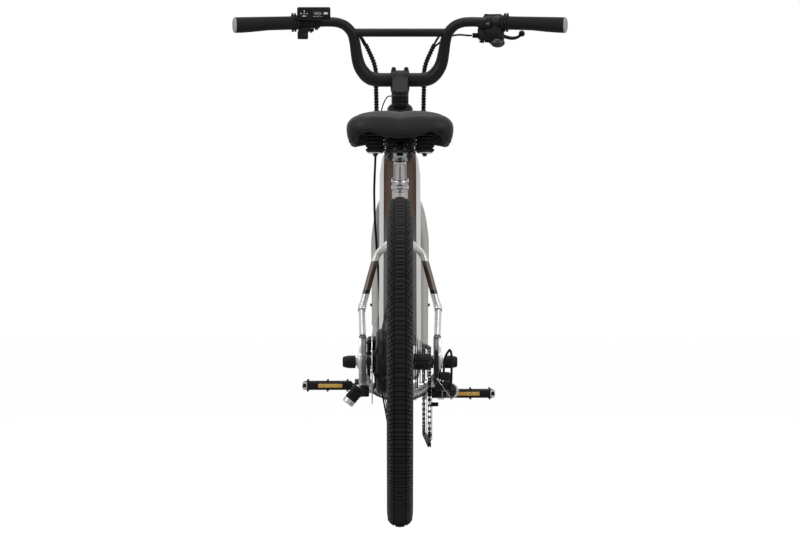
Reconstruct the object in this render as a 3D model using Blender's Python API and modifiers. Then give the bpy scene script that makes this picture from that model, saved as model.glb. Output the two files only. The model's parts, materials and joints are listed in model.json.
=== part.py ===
"""An electric cruiser bike as separate pieces. Metres, Z up, Y forward, X to the rider's right."""

import math

import bmesh
import bpy
import numpy as np
from mathutils import Matrix, Vector

# Clearances
GAP = 0.0003

# Wheels and tyres
WHEEL_RADIUS = 0.350
TYRE_WIDTH = 0.0555
RIM_RADIUS = 0.298
RIM_WIDTH = 0.034
RIM_DEPTH = 0.024
SPOKES = 32
SPOKE_RADIUS = 0.0015
WHEEL_STEPS = 36
AXLE_RADIUS = 0.006
ROTOR_RADIUS = 0.090
ROTOR_THICKNESS = 0.002

# Frame lines
WHEELBASE = 1.150
CRANK_REACH = 0.450
CRANK_DROP = 0.068
SEAT_ANGLE = math.radians(69.0)
HEAD_ANGLE = math.radians(68.5)
RAKE = 0.050
DOWN_TUBE_WIDTH = 0.093
DOWN_TUBE_DEPTH = 0.070
SEAT_TUBE_RADIUS = 0.017
SEATPOST_RADIUS = 0.0136
COLLAR_BOTTOM = 0.467
SHELL_RADIUS = 0.024
SHELL_HALF = 0.0365
REAR_HALF = 0.071
FRONT_HALF = 0.050

# Steering column, measured along its axis from the foot of the rake
HEAD_LOW = 0.4373
HEAD_HIGH = 0.614
HEAD_RADIUS = 0.027
HEAD_BORE = 0.0205
STEERER_RADIUS = 0.0143
STEM_LOW = 0.6303
STEM_HIGH = 0.670

# Handlebar
BAR_RADIUS = 0.0111
BAR_CENTRE_RADIUS = 0.0159
BAR_HALF = 0.3680
GRIP_INNER = 0.2295
GRIP_OUTER = 0.3758

# Drive
CHAIN_PITCH = 0.0127
CHAINRING_TEETH = 48
COGS = (14, 16, 18, 20, 22, 24, 28)
COG_STEP = 0.005
OUTER_COG_X = 0.0625
CHAINRING_X = 0.0525
PULLEY_TEETH = 11
CRANK_LENGTH = 0.170
CRANK_TILT = math.radians(4.2)
PEDAL_INNER = 0.103
PEDAL_OUTER = 0.210

# Saddle
SADDLE_WIDTH = 0.230
SADDLE_LENGTH = 0.270
SADDLE_SETBACK = 0.330
SADDLE_TOP = 0.888

REAR = Vector((0.0, -WHEELBASE / 2, WHEEL_RADIUS))
FRONT = Vector((0.0, WHEELBASE / 2, WHEEL_RADIUS))
CRANK = REAR + Vector((0.0, CRANK_REACH, -CRANK_DROP))
SADDLE_REAR = CRANK.y - SADDLE_SETBACK
SADDLE_NOSE = SADDLE_REAR + SADDLE_LENGTH
SEAT_LINE = Vector((0.0, -math.cos(SEAT_ANGLE), math.sin(SEAT_ANGLE)))
STEER_LINE = Vector((0.0, -math.cos(HEAD_ANGLE), math.sin(HEAD_ANGLE)))
STEER_FORWARD = Vector((0.0, math.sin(HEAD_ANGLE), math.cos(HEAD_ANGLE)))
STEER_FOOT = FRONT - RAKE * STEER_FORWARD
X_AXIS = Vector((1.0, 0.0, 0.0))
Z_AXIS = Vector((0.0, 0.0, 1.0))


def steer(along, ahead=0.0, side=0.0):
    """A point given along the steering axis, ahead of it and to its right."""
    return STEER_FOOT + along * STEER_LINE + ahead * STEER_FORWARD + side * X_AXIS


def seat(along, ahead=0.0, side=0.0):
    """A point given along the seat tube's axis from the crank, ahead of it and to its right."""
    forward = Vector((0.0, SEAT_LINE.z, -SEAT_LINE.y))
    return CRANK + along * SEAT_LINE + ahead * forward + side * X_AXIS


def behind(side, ahead, height):
    """A point given by its side, its distance ahead of the rear axle and its height."""
    return Vector((side, REAR.y + ahead, height))


def clear_file():
    for obj in list(bpy.data.objects):
        bpy.data.objects.remove(obj, do_unlink=True)


def new_collection(name, hidden):
    found = bpy.data.collections.new(name)
    bpy.context.scene.collection.children.link(found)
    found.hide_render = hidden
    return found


clear_file()
PIECES = new_collection("electric_cruiser_bike", False)
CUTTERS = new_collection("cutters", True)


# Helpers for shapes
def new_object(name, data):
    obj = bpy.data.objects.new(name, data)
    PIECES.objects.link(obj)
    return obj


def from_bmesh(name, shape):
    mesh = bpy.data.meshes.new(name)
    shape.to_mesh(mesh)
    shape.free()
    return new_object(name, mesh)


def aim(obj, direction):
    """Turns the object so that its own Z runs along the direction."""
    direction = Vector(direction).normalized()
    if abs(direction.x) > 0.999:
        obj.rotation_euler = (0.0, math.copysign(math.pi / 2, direction.x), 0.0)
    else:
        obj.rotation_euler = direction.to_track_quat("Z", "Y").to_euler()


def round_edges(obj, width, segments=2):
    bevel = obj.modifiers.new("rounding", "BEVEL")
    bevel.width = width
    bevel.segments = segments
    bevel.limit_method = "ANGLE"
    bevel.angle_limit = math.radians(35.0)
    return obj


def box(name, size, place, turn=(0.0, 0.0, 0.0), rounding=0.0, segments=1):
    shape = bmesh.new()
    bmesh.ops.create_cube(shape, size=1.0)
    bmesh.ops.scale(shape, vec=Vector(size), verts=shape.verts)
    obj = from_bmesh(name, shape)
    obj.location = place
    obj.rotation_euler = turn
    if rounding:
        round_edges(obj, rounding, segments)
    return obj


def cylinder(name, radius, start, end, sides=12, end_radius=None):
    start, end = Vector(start), Vector(end)
    shape = bmesh.new()
    bmesh.ops.create_cone(
        shape,
        cap_ends=True,
        segments=sides,
        radius1=radius,
        radius2=radius if end_radius is None else end_radius,
        depth=(end - start).length,
    )
    obj = from_bmesh(name, shape)
    obj.location = (start + end) / 2
    aim(obj, end - start)
    return obj


def turned(name, profile, place, axis, steps, ring=False):
    """Turns (radius, height) points about the axis; the points run down the outer side."""
    mesh = bpy.data.meshes.new(name)
    count = len(profile)
    edges = [(k, k + 1) for k in range(count - 1)] + ([(count - 1, 0)] if ring else [])
    mesh.from_pydata([(radius, 0.0, height) for radius, height in profile], edges, [])
    obj = new_object(name, mesh)
    screw = obj.modifiers.new("turning", "SCREW")
    screw.angle = 2 * math.pi
    screw.steps = screw.render_steps = steps
    screw.use_merge_vertices = True
    screw.merge_threshold = 0.00001
    obj.location = place
    aim(obj, axis)
    return obj


def sleeve(name, outer, inner, start, end, sides=16, chamfer=0.0):
    """A plain tube from start to end, its outer edges chamfered."""
    start, end = Vector(start), Vector(end)
    half = (end - start).length / 2
    profile = [(outer, half - chamfer), (outer, chamfer - half)]
    if chamfer:
        profile = [(outer - chamfer, half), *profile, (outer - chamfer, -half)]
    profile += [(inner, -half), (inner, half)]
    return turned(name, profile, (start + end) / 2, end - start, sides, ring=True)


def smooth(points, steps):
    """Points of a curve that passes through the given ones."""
    given = [Vector(point) for point in points]
    given = [2 * given[0] - given[1], *given, 2 * given[-1] - given[-2]]
    found = []
    for a, b, c, d in zip(given, given[1:], given[2:], given[3:]):
        for k in range(steps):
            t = k / steps
            bent = (2 * a - 5 * b + 4 * c - d) * t * t + (3 * b - a - 3 * c + d) * t**3
            found.append((2 * b + (c - a) * t + bent) / 2)
    return [*found, given[-2]]


def tube(name, points, radius, sides=12, radii=None):
    """A round rod through the points; radii gives its radius at each point."""
    curve = bpy.data.curves.new(name, "CURVE")
    curve.dimensions = "3D"
    curve.bevel_depth = radius
    curve.bevel_resolution = (sides - 4) // 2
    curve.use_fill_caps = True
    spline = curve.splines.new("POLY")
    spline.points.add(len(points) - 1)
    for index, point in enumerate(points):
        spline.points[index].co = (*point, 1.0)
        spline.points[index].radius = radii[index] / radius if radii else 1.0
    return new_object(name, curve)


def outline(name, shapes, thickness, place, turn=(0.0, 0.0, 0.0)):
    """A flat plate from closed outlines of (x, y) points; an outline inside another is a hole."""
    curve = bpy.data.curves.new(name, "CURVE")
    curve.dimensions = "2D"
    curve.fill_mode = "BOTH"
    curve.extrude = thickness / 2
    for points in shapes:
        spline = curve.splines.new("POLY")
        spline.points.add(len(points) - 1)
        spline.use_cyclic_u = True
        for index, point in enumerate(points):
            spline.points[index].co = (point[0], point[1], 0.0, 1.0)
    obj = new_object(name, curve)
    obj.location = place
    obj.rotation_euler = turn
    return obj


# An outline drawn as (ahead, up) stands upright, facing the rider's right.
SIDE_ON = (math.pi / 2, 0.0, math.pi / 2)


def ring_points(centre, across, up, half_width, half_height, power=2.0, count=16):
    """A rounded box outline: |a / half_width|^power + |b / half_height|^power = 1."""
    found = []
    for k in range(count):
        angle = 2 * math.pi * (k + 0.5) / count
        cos, sin = math.cos(angle), math.sin(angle)
        a = half_width * math.copysign(abs(cos) ** (2 / power), cos)
        b = half_height * math.copysign(abs(sin) ** (2 / power), sin)
        found.append(Vector(centre) + a * Vector(across) + b * Vector(up))
    return found


def loft(name, rings):
    """A skin over rings with the same number of points, closed at both ends."""
    shape = bmesh.new()
    rows = [[shape.verts.new(point) for point in ring] for ring in rings]
    count = len(rows[0])
    for low, high in zip(rows, rows[1:]):
        for k in range(count):
            shape.faces.new((low[k], low[(k + 1) % count], high[(k + 1) % count], high[k]))
    shape.faces.new(list(reversed(rows[0])))
    shape.faces.new(rows[-1])
    bmesh.ops.recalc_face_normals(shape, faces=shape.faces)
    return from_bmesh(name, shape)


def circle(radius, count, centre=(0.0, 0.0), phase=0.0):
    angles = [phase + 2 * math.pi * k / count for k in range(count)]
    return [(centre[0] + radius * math.cos(a), centre[1] + radius * math.sin(a)) for a in angles]


def as_mesh(obj):
    """A curve's mesh in place of the curve, its caps welded."""
    if obj.type != "CURVE":
        return obj
    bpy.context.view_layer.update()
    graph = bpy.context.evaluated_depsgraph_get()
    mesh = bpy.data.meshes.new_from_object(obj.evaluated_get(graph))
    shape = bmesh.new()
    shape.from_mesh(mesh)
    bmesh.ops.remove_doubles(shape, verts=shape.verts, dist=0.000001)
    bmesh.ops.recalc_face_normals(shape, faces=shape.faces)
    shape.to_mesh(mesh)
    shape.free()
    found = new_object(obj.name + ".mesh", mesh)
    found.matrix_world = obj.matrix_world
    bpy.data.objects.remove(obj, do_unlink=True)
    return found


def combine(obj, others, operation):
    obj = as_mesh(obj)
    for other in others:
        other = as_mesh(other)
        PIECES.objects.unlink(other)
        CUTTERS.objects.link(other)
        other.display_type = "WIRE"
        boolean = obj.modifiers.new("shape", "BOOLEAN")
        boolean.operation = operation
        boolean.solver = "EXACT"
        boolean.object = other
    return obj


def join(obj, *others):
    return combine(obj, others, "UNION")


def cut(obj, *others):
    return combine(obj, others, "DIFFERENCE")


def merged(name, objects):
    """One mesh that holds the meshes of several plain objects that don't touch."""
    shape = bmesh.new()
    for obj in objects:
        obj = as_mesh(obj)
        bpy.context.view_layer.update()
        before = len(shape.verts)
        shape.from_mesh(obj.data)
        shape.verts.ensure_lookup_table()
        bmesh.ops.transform(shape, matrix=obj.matrix_world, verts=shape.verts[before:])
        bpy.data.objects.remove(obj, do_unlink=True)
    return from_bmesh(name, shape)


# Helpers for bodies and finish
def world_place(obj):
    return obj.location + (world_place(obj.parent) if obj.parent else Vector())


def body(name, place, parent=None):
    """The empty that a moving body's pieces hang on, on its joint axis."""
    found = bpy.data.objects.new(name, None)
    PIECES.objects.link(found)
    found.empty_display_size = 0.03
    found.location = Vector(place) - (world_place(parent) if parent else Vector())
    found.parent = parent
    return found


def material(name, colour, roughness, metallic=0.0):
    if name in bpy.data.materials:
        return bpy.data.materials[name]
    found = bpy.data.materials.new(name)
    found.use_nodes = True
    shader = found.node_tree.nodes["Principled BSDF"]
    shader.inputs["Base Color"].default_value = (*colour, 1.0)
    shader.inputs["Roughness"].default_value = roughness
    shader.inputs["Metallic"].default_value = metallic
    found.diffuse_color = (*colour, 1.0)
    return found


def silver_paint():
    return material("silver_paint", (0.55, 0.54, 0.53), 0.32, 0.55)


def fork_paint():
    return material("fork_paint", (0.50, 0.48, 0.45), 0.34, 0.5)


def brown_paint():
    return material("brown_paint", (0.078, 0.048, 0.033), 0.38, 0.2)


def black_paint():
    return material("black_paint", (0.012, 0.012, 0.012), 0.36, 0.1)


def black_plastic():
    return material("black_plastic", (0.018, 0.018, 0.018), 0.5)


def grip_rubber():
    return material("grip_rubber", (0.022, 0.022, 0.023), 0.7)


def tyre_rubber():
    return material("tyre_rubber", (0.016, 0.015, 0.017), 0.8)


def saddle_skin():
    return material("saddle_skin", (0.020, 0.020, 0.020), 0.55)


def foot_rubber():
    return material("foot_rubber", (0.015, 0.015, 0.015), 0.75)


def polished_metal():
    return material("polished_metal", (0.74, 0.74, 0.75), 0.16, 1.0)


def brushed_metal():
    return material("brushed_metal", (0.50, 0.50, 0.51), 0.35, 1.0)


def rotor_steel():
    return material("rotor_steel", (0.66, 0.66, 0.67), 0.28, 1.0)


def dark_steel():
    return material("dark_steel", (0.10, 0.10, 0.105), 0.36, 1.0)


def cell_wrap():
    return material("cell_wrap", (0.03, 0.05, 0.09), 0.45)


def cable_sheath():
    return material("cable_sheath", (0.014, 0.014, 0.014), 0.45)


def finish(obj, name, paint, hung_on=None):
    """Names a piece, colours it, shades it smooth and hangs it on its body."""
    if any(modifier.type == "BOOLEAN" for modifier in obj.modifiers):
        flatten = obj.modifiers.new("flat faces", "DECIMATE")
        flatten.decimate_type = "DISSOLVE"
        flatten.angle_limit = math.radians(0.4)
    if obj.type == "MESH":
        obj.data.shade_smooth()
        obj.data.set_sharp_from_angle(angle=math.radians(35.0))
    obj.name = name
    obj.data.name = name
    obj.data.materials.clear()
    obj.data.materials.append(paint)
    if hung_on:
        obj.location = obj.location - world_place(hung_on)
        obj.parent = hung_on
    return obj


# Wheels
def rods(name, ends, radius, sides):
    """Several straight rods, each from its start to its end, in one mesh."""
    shape = bmesh.new()
    for start, end in ends:
        start, end = Vector(start), Vector(end)
        turn = (end - start).to_track_quat("Z", "Y").to_matrix().to_4x4()
        bmesh.ops.create_cone(
            shape,
            cap_ends=True,
            segments=sides,
            radius1=radius,
            radius2=radius,
            depth=(end - start).length,
            matrix=Matrix.Translation((start + end) / 2) @ turn,
        )
    return from_bmesh(name, shape)


def rim_profile():
    """Half outline of the rim: flanges, the channel the beads sit in, and the spoke bed."""
    half = RIM_WIDTH / 2
    flange, channel = half - 0.0025, RIM_RADIUS - 0.008
    bed, knee = RIM_RADIUS - RIM_DEPTH, channel - 0.002
    upper = [(bed, 0.45 * half), (knee, half), (RIM_RADIUS, half), (RIM_RADIUS, flange)]
    upper.append((channel, flange))
    lower = [(radius, -height) for radius, height in reversed(upper)]
    return [*upper, *lower]


def tyre(name, axle, hung_on):
    """An open casing whose beads sit inside the rim's channel."""
    half, height = TYRE_WIDTH / 2, WHEEL_RADIUS - RIM_RADIUS
    bead, wall = RIM_WIDTH / 2 - 0.0025 - GAP, 0.0045
    seat_radius = RIM_RADIUS - 0.008 + GAP
    outer = [
        (seat_radius, bead),
        (RIM_RADIUS + 0.0015, bead),
        (WHEEL_RADIUS - 8 / 13 * height, half),
        (WHEEL_RADIUS - 2 / 13 * height, 0.70 * half),
        (WHEEL_RADIUS, 0.0),
    ]
    inner = [(WHEEL_RADIUS - wall - 0.001, 0.0), (WHEEL_RADIUS - 17 / 26 * height, half - wall)]
    inner += [(RIM_RADIUS + 0.003, bead - wall), (seat_radius, bead - wall)]
    left_outer = [(radius, -height) for radius, height in reversed(outer[:-1])]
    left_inner = [(radius, -height) for radius, height in reversed(inner[1:])]
    profile = [*outer, *left_outer, *left_inner, *inner]
    obj = turned(name, profile, axle, X_AXIS, WHEEL_STEPS, ring=True)
    return finish(obj, name, tyre_rubber(), hung_on)


def spokes(axle, flange_radius, flange_sides, lean):
    """Spokes from two flanges to the rim, all leaning one way so that none cross."""
    ends = []
    for side, place in enumerate(flange_sides):
        for k in range(SPOKES // 2):
            angle = 2 * math.pi * (k + side / 2) / (SPOKES // 2)
            foot, top = flange_radius - 0.002, RIM_RADIUS - RIM_DEPTH + 0.003
            low = Vector((place, foot * math.cos(angle + lean), foot * math.sin(angle + lean)))
            reach = Vector((math.copysign(0.003, place), top * math.cos(angle), top * math.sin(angle)))
            ends.append((axle + low, axle + reach))
    return rods("spokes", ends, SPOKE_RADIUS, 3)


def wheel(name, axle, hub_profile, flange_radius, flange_sides, lean, hung_on):
    """A rim, its spokes and its hub, which turn as one piece."""
    rim = turned(name, rim_profile(), axle, X_AXIS, WHEEL_STEPS, ring=True)
    hub = turned("hub", hub_profile, axle, X_AXIS, 18, ring=True)
    obj = join(rim, hub, spokes(axle, flange_radius, flange_sides, lean))
    return finish(obj, name, black_paint(), hung_on)


def front_hub_profile():
    bore, end, flange = AXLE_RADIUS + GAP, FRONT_HALF - GAP, 0.0357
    outer = [(0.011, end), (0.011, flange), (0.028, flange), (0.028, 0.029), (0.014, 0.026)]
    mirrored = [(radius, -height) for radius, height in reversed(outer)]
    return [*outer, *mirrored, (bore, -end), (bore, end)]


def motor_hub_profile():
    """The geared hub motor's shell, with the rotor's seat on its left."""
    bore = AXLE_RADIUS + GAP
    outer = [(0.030, 0.0285), (0.064, 0.0265), (0.070, 0.020), (0.070, -0.044), (0.062, -0.050)]
    seat_steps = [(0.024, -0.0525), (0.024, -0.0577), (0.015, -0.0577), (0.015, GAP - REAR_HALF)]
    return [*outer, *seat_steps, (bore, GAP - REAR_HALF), (bore, 0.0285)]


def rotor(name, axle, side, bore, hung_on):
    """A brake disc: a braking band on six arms."""
    shapes = [circle(ROTOR_RADIUS, 32), circle(bore / math.cos(math.pi / 12), 12)]
    for k in range(6):
        middle = 2 * math.pi * k / 6
        wide = [middle + math.radians(a) for a in (-23, -8, 8, 23)]
        narrow = [middle + math.radians(a) for a in (16, -16)]
        far, near = ROTOR_RADIUS - 0.015, max(bore + 0.008, 0.030)
        gap_points = [(far * math.cos(a), far * math.sin(a)) for a in wide]
        shapes.append([*gap_points, *[(near * math.cos(a), near * math.sin(a)) for a in narrow]])
    place = axle + Vector((side, 0.0, 0.0))
    obj = as_mesh(outline(name, shapes, ROTOR_THICKNESS, place, SIDE_ON))
    return finish(obj, name, rotor_steel(), hung_on)


def axle_rod(name, axle, left, right, nut_half, hung_on):
    """The through axle with a nut at each end."""
    low, high = axle + left * X_AXIS, axle + right * X_AXIS
    rod = cylinder(name, AXLE_RADIUS, low, high, 16)
    nuts = [
        cylinder("nut", 0.010, low, low + nut_half * X_AXIS, 6),
        cylinder("nut", 0.010, high - nut_half * X_AXIS, high, 6),
    ]
    return finish(join(rod, *nuts), name, brushed_metal(), hung_on)


# Frame
DOWN_TUBE_JOIN = 0.4877
DOWN_LINE = (steer(DOWN_TUBE_JOIN) - CRANK).normalized()
DOWN_NORMAL = Vector((0.0, -DOWN_LINE.z, DOWN_LINE.y))
DOWN_LENGTH = (steer(DOWN_TUBE_JOIN) - CRANK).length
DOWN_TURN = (math.atan2(DOWN_LINE.z, DOWN_LINE.y), 0.0, 0.0)
COVER_WIDTH = 0.0732
COVER_START = 0.100
COVER_END = 0.668
BAY_END = 0.585
COVER_FLOOR = 0.0265
BAY_WIDTH = 0.066
BAY_FLOOR = -0.024
BATTERY_START = 0.235
CONTROLLER_LENGTH = 0.085


def on_down_tube(along, lift=0.0, side=0.0):
    """A point along the down tube from the crank, lifted off its middle towards the rider."""
    return CRANK + along * DOWN_LINE + lift * DOWN_NORMAL + side * X_AXIS


def down_tube_skin(name):
    half_width, half_depth = DOWN_TUBE_WIDTH / 2, DOWN_TUBE_DEPTH / 2
    stations = [
        (0.012, 0.73, 0.86),
        (0.050, 0.90, 0.97),
        (0.090, 1.0, 1.0),
        (DOWN_LENGTH - 0.045, 1.0, 1.0),
    ]
    rings = [
        ring_points(
            on_down_tube(along), X_AXIS, DOWN_NORMAL, wide * half_width, deep * half_depth, 4.0, 24
        )
        for along, wide, deep in stations
    ]
    slant = abs(DOWN_LINE.cross(STEER_LINE).length)
    for ahead, wide, power in ((-0.012, half_width - 0.004, 3.0), (0.014, HEAD_RADIUS + 0.004, 2.5)):
        end = steer(DOWN_TUBE_JOIN, ahead)
        rings.append(ring_points(end, X_AXIS, STEER_LINE, wide, half_depth / slant, power, 24))
    return loft(name, rings)


def down_tube_box(name, width, start, end, low, high, rounding=0.0):
    middle = on_down_tube((start + end) / 2, (low + high) / 2)
    return box(name, (width, end - start, high - low), middle, DOWN_TURN, rounding)


def head_tube():
    obj = sleeve(
        "head_tube", HEAD_RADIUS, HEAD_BORE, steer(HEAD_LOW), steer(HEAD_HIGH), 24, 0.0012
    )
    return finish(obj, "head_tube", silver_paint())


def down_tube():
    """The one thick tube of the step-through frame, with the battery's bay in its upper face."""
    top = DOWN_TUBE_DEPTH / 2 + 0.01
    cutters = [
        cylinder("head", HEAD_RADIUS + GAP, steer(HEAD_LOW - 0.05), steer(HEAD_HIGH + 0.05), 24),
        cylinder("seat", SEAT_TUBE_RADIUS + GAP, CRANK, seat(0.2), 24),
        cylinder("shell", SHELL_RADIUS + GAP, CRANK - 0.08 * X_AXIS, CRANK + 0.08 * X_AXIS, 24),
        down_tube_box(
            "recess", COVER_WIDTH + 2 * GAP, COVER_START - GAP, COVER_END + GAP, COVER_FLOOR, top
        ),
        down_tube_box("bay", BAY_WIDTH, COVER_START + 0.015, BAY_END, BAY_FLOOR, top),
    ]
    return finish(cut(down_tube_skin("down_tube"), *cutters), "down_tube", silver_paint())


def battery_cover():
    """The lid over the battery, cut from the tube's own outline so that it sits flush."""
    top = DOWN_TUBE_DEPTH / 2 + 0.01
    window = down_tube_box(
        "window", COVER_WIDTH, COVER_START, COVER_END, COVER_FLOOR + GAP, top
    )
    obj = combine(down_tube_skin("battery_cover"), [window], "INTERSECT")
    return finish(obj, "battery_cover", brown_paint())


def battery_pack():
    obj = down_tube_box(
        "battery_pack",
        BAY_WIDTH - 2 * GAP,
        BATTERY_START,
        BAY_END - GAP,
        BAY_FLOOR + GAP,
        COVER_FLOOR - GAP,
        0.004,
    )
    return finish(obj, "battery_pack", cell_wrap())


def controller():
    start = COVER_START + 0.015 + GAP
    obj = down_tube_box(
        "controller",
        BAY_WIDTH - 2 * GAP,
        start,
        start + CONTROLLER_LENGTH,
        BAY_FLOOR + GAP,
        0.006,
        0.003,
    )
    return finish(obj, "controller", brushed_metal())


def seat_tube():
    """The seat tube and the crank's shell, bored for the seatpost and the bottom bracket."""
    post = cylinder("seat_tube", SEAT_TUBE_RADIUS, seat(0.0), seat(COLLAR_BOTTOM), 24)
    left, right = CRANK - SHELL_HALF * X_AXIS, CRANK + SHELL_HALF * X_AXIS
    shell = cylinder("shell", SHELL_RADIUS, left, right, 24)
    bores = [
        cylinder("bore", SEATPOST_RADIUS + GAP, seat(0.19), seat(COLLAR_BOTTOM + 0.02), 24),
        cylinder("bore", 0.0173, CRANK - 0.06 * X_AXIS, CRANK + 0.06 * X_AXIS, 24),
    ]
    return finish(cut(join(post, shell), *bores), "seat_tube", silver_paint())


CHAINSTAY_LINE = [
    (0.0745, 0.012, 0.318),
    (0.0690, 0.080, 0.308),
    (0.0645, 0.150, 0.300),
    (0.0560, 0.230, 0.290),
    (0.0470, 0.300, 0.283),
    (0.0400, 0.360, 0.279),
    (0.0310, 0.425, 0.2775),
]
SEATSTAY_LINE = [
    (0.0, 0.303, 0.6085),
    (0.0288, 0.285, 0.5975),
    (0.0446, 0.262, 0.5834),
    (0.0528, 0.248, 0.568),
    (0.0624, 0.210, 0.5348),
    (0.0730, 0.165, 0.4951),
    (0.0807, 0.130, 0.4675),
    (0.0805, 0.108, 0.4550),
]
DROPOUT_THICKNESS = 0.0165
DROPOUT_LINE = [
    (0.060, 0.389),
    (0.046, 0.401),
    (0.020, 0.381),
    (-0.014, 0.364),
    (-0.017, 0.340),
    (-0.008, 0.318),
    (0.008, 0.304),
    (0.040, 0.300),
    (0.044, 0.316),
    (0.026, 0.332),
    (0.026, 0.356),
]


def mirrored_points(line, side):
    return [behind(side * x, ahead, height) for x, ahead, height in line]


def dropout(side):
    """The plate that holds the rear axle on one side, with the boss round its bore."""
    drawn = [(ahead, height - REAR.z) for ahead, height in DROPOUT_LINE]
    middle = REAR + side * (REAR_HALF + DROPOUT_THICKNESS / 2) * X_AXIS
    plate = outline("dropout", [drawn], DROPOUT_THICKNESS, middle, SIDE_ON)
    start, end = REAR + side * REAR_HALF * X_AXIS, REAR + side * (REAR_HALF + 0.0197) * X_AXIS
    boss = cylinder("boss", 0.0145, start, end, 16)
    return join(plate, boss)


def kickstand_mount():
    """The plate welded under the left chainstay for the kickstand."""
    return box("mount", (0.0180, 0.034, 0.030), behind(-0.0750, 0.140, 0.288), rounding=0.003)


def chainstays():
    """Both chainstays with their dropouts, and the yoke that meets the crank's shell."""
    shape = box("chainstays", (0.058, 0.022, 0.024), behind(0.0, 0.418, 0.2795), rounding=0.004)
    pieces = []
    for side in (-1, 1):
        line = mirrored_points(CHAINSTAY_LINE, side)
        pieces += [tube("stay", line, 0.0078, 10), dropout(side)]
    shape = join(shape, *pieces, kickstand_mount())
    left, right = REAR - 0.12 * X_AXIS, REAR + 0.12 * X_AXIS
    shell_low, shell_high = CRANK - 0.08 * X_AXIS, CRANK + 0.08 * X_AXIS
    shape = cut(
        shape,
        cylinder("axle", AXLE_RADIUS + GAP, left, right, 16),
        cylinder("shell", SHELL_RADIUS + GAP, shell_low, shell_high, 24),
    )
    return finish(shape, "chainstays", silver_paint())


def seatstays():
    """The wishbone from behind the seat tube down to the dropouts, ending in thin struts."""
    right = smooth(mirrored_points(SEATSTAY_LINE, 1), 2)
    left = smooth(mirrored_points(SEATSTAY_LINE, -1), 2)
    whole = tube("seatstays", [*reversed(left[1:]), *right], 0.00775, 10)
    pieces = []
    for side in (-1, 1):
        top = behind(side * 0.0805, 0.112, 0.4575)
        foot = behind(side * (REAR_HALF + DROPOUT_THICKNESS / 2), 0.0545, 0.3985)
        pieces.append(cylinder("strut", 0.0070, foot, top, 10))
    shape = join(whole, *pieces)
    trims = [cylinder("seat", SEAT_TUBE_RADIUS + GAP, seat(0.25), seat(0.45), 24)]
    for side in (-1, 1):
        drawn = [(ahead, height - REAR.z) for ahead, height in DROPOUT_LINE]
        middle = REAR + side * (REAR_HALF + DROPOUT_THICKNESS / 2) * X_AXIS
        grown = [(a + math.copysign(GAP, a - 0.02), h + GAP) for a, h in drawn]
        trims.append(outline("foot", [grown], DROPOUT_THICKNESS + 2 * GAP, middle, SIDE_ON))
    return finish(cut(shape, *trims), "seatstays", silver_paint())


def axle_cap(name, side, start):
    """The tapered cover over one end of the rear axle."""
    low, length = REAR + side * start * X_AXIS, 0.028
    return finish(
        cylinder(name, 0.0135, low, low + side * length * X_AXIS, 20, 0.0105), name, black_plastic()
    )


def lower_headset():
    """The bearing cup under the head tube, its skirt inside the tube."""
    inner, skirt = STEERER_RADIUS + GAP, HEAD_BORE - GAP
    low, seat_height = HEAD_LOW - 0.008, HEAD_LOW - GAP
    profile = [(skirt, HEAD_LOW + 0.011), (skirt, seat_height), (0.026, seat_height)]
    profile += [(0.026, low + 0.002), (0.0245, low), (inner, low), (inner, HEAD_LOW + 0.011)]
    obj = turned("lower_headset", profile, STEER_FOOT, STEER_LINE, 20, ring=True)
    return finish(obj, "lower_headset", black_paint())


def upper_headset():
    """The bearing cup and cover on top of the head tube."""
    inner, skirt = STEERER_RADIUS + GAP, HEAD_BORE - GAP
    foot, top = HEAD_HIGH + GAP, STEM_LOW - GAP
    profile = [(0.022, top), (0.029, top - 0.006), (0.029, foot), (skirt, foot)]
    profile += [(skirt, HEAD_HIGH - 0.011), (inner, HEAD_HIGH - 0.011), (inner, top)]
    obj = turned("upper_headset", profile, STEER_FOOT, STEER_LINE, 20, ring=True)
    return finish(obj, "upper_headset", black_paint())


def bottom_bracket():
    """The bearing sleeve inside the crank's shell, flanged at both ends."""
    flange, end, inner = SHELL_HALF + GAP, SHELL_HALF + 0.0035, 0.0088
    outer = [(0.020, end), (0.020, flange), (0.017, flange)]
    mirrored = [(radius, -height) for radius, height in reversed(outer)]
    profile = [*outer, *mirrored, (inner, -end), (inner, end)]
    obj = turned("bottom_bracket", profile, CRANK, X_AXIS, 16, ring=True)
    return finish(obj, "bottom_bracket", dark_steel())


def seat_collar():
    """The double-ridged clamp above the seat tube, with its bolt across the slit behind."""
    inner = SEATPOST_RADIUS + GAP
    profile = [(0.0168, 0.0257), (0.019, 0.0225), (0.019, 0.0150), (0.0174, 0.0128)]
    profile += [(0.019, 0.0106), (0.019, 0.0032), (0.0168, 0.0), (inner, 0.0), (inner, 0.0257)]
    ring = turned("seat_collar", profile, seat(COLLAR_BOTTOM + GAP), SEAT_LINE, 20, ring=True)
    middle = COLLAR_BOTTOM + 0.013
    bolt = cylinder("bolt", 0.0045, seat(middle, -0.0195, -0.009), seat(middle, -0.0195, 0.009), 8)
    slit = box("slit", (0.002, 0.020, 0.05), seat(middle, -0.024), (math.pi / 2 - SEAT_ANGLE, 0, 0))
    slit.location = seat(middle, -0.0255)
    return finish(cut(join(ring, bolt), slit), "seat_collar", polished_metal())


# Brakes
def caliper(name, axle, side, angle, inner_wall, outer_wall, slot):
    """A caliper's body over the rotor's edge, and the cutter for the slot the disc runs in."""
    radial = Vector((0.0, math.cos(angle), math.sin(angle)))
    width = outer_wall - inner_wall
    middle = axle + (side + (outer_wall + inner_wall) / 2) * X_AXIS
    block = box(
        name, (width, 0.032, 0.045), middle + (ROTOR_RADIUS - 0.003) * radial, (angle, 0, 0), 0.004
    )
    gap_place = axle + side * X_AXIS + (ROTOR_RADIUS - 0.014) * radial
    return block, box("slot", (slot, 0.033, 0.06), gap_place, (angle, 0, 0))


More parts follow.
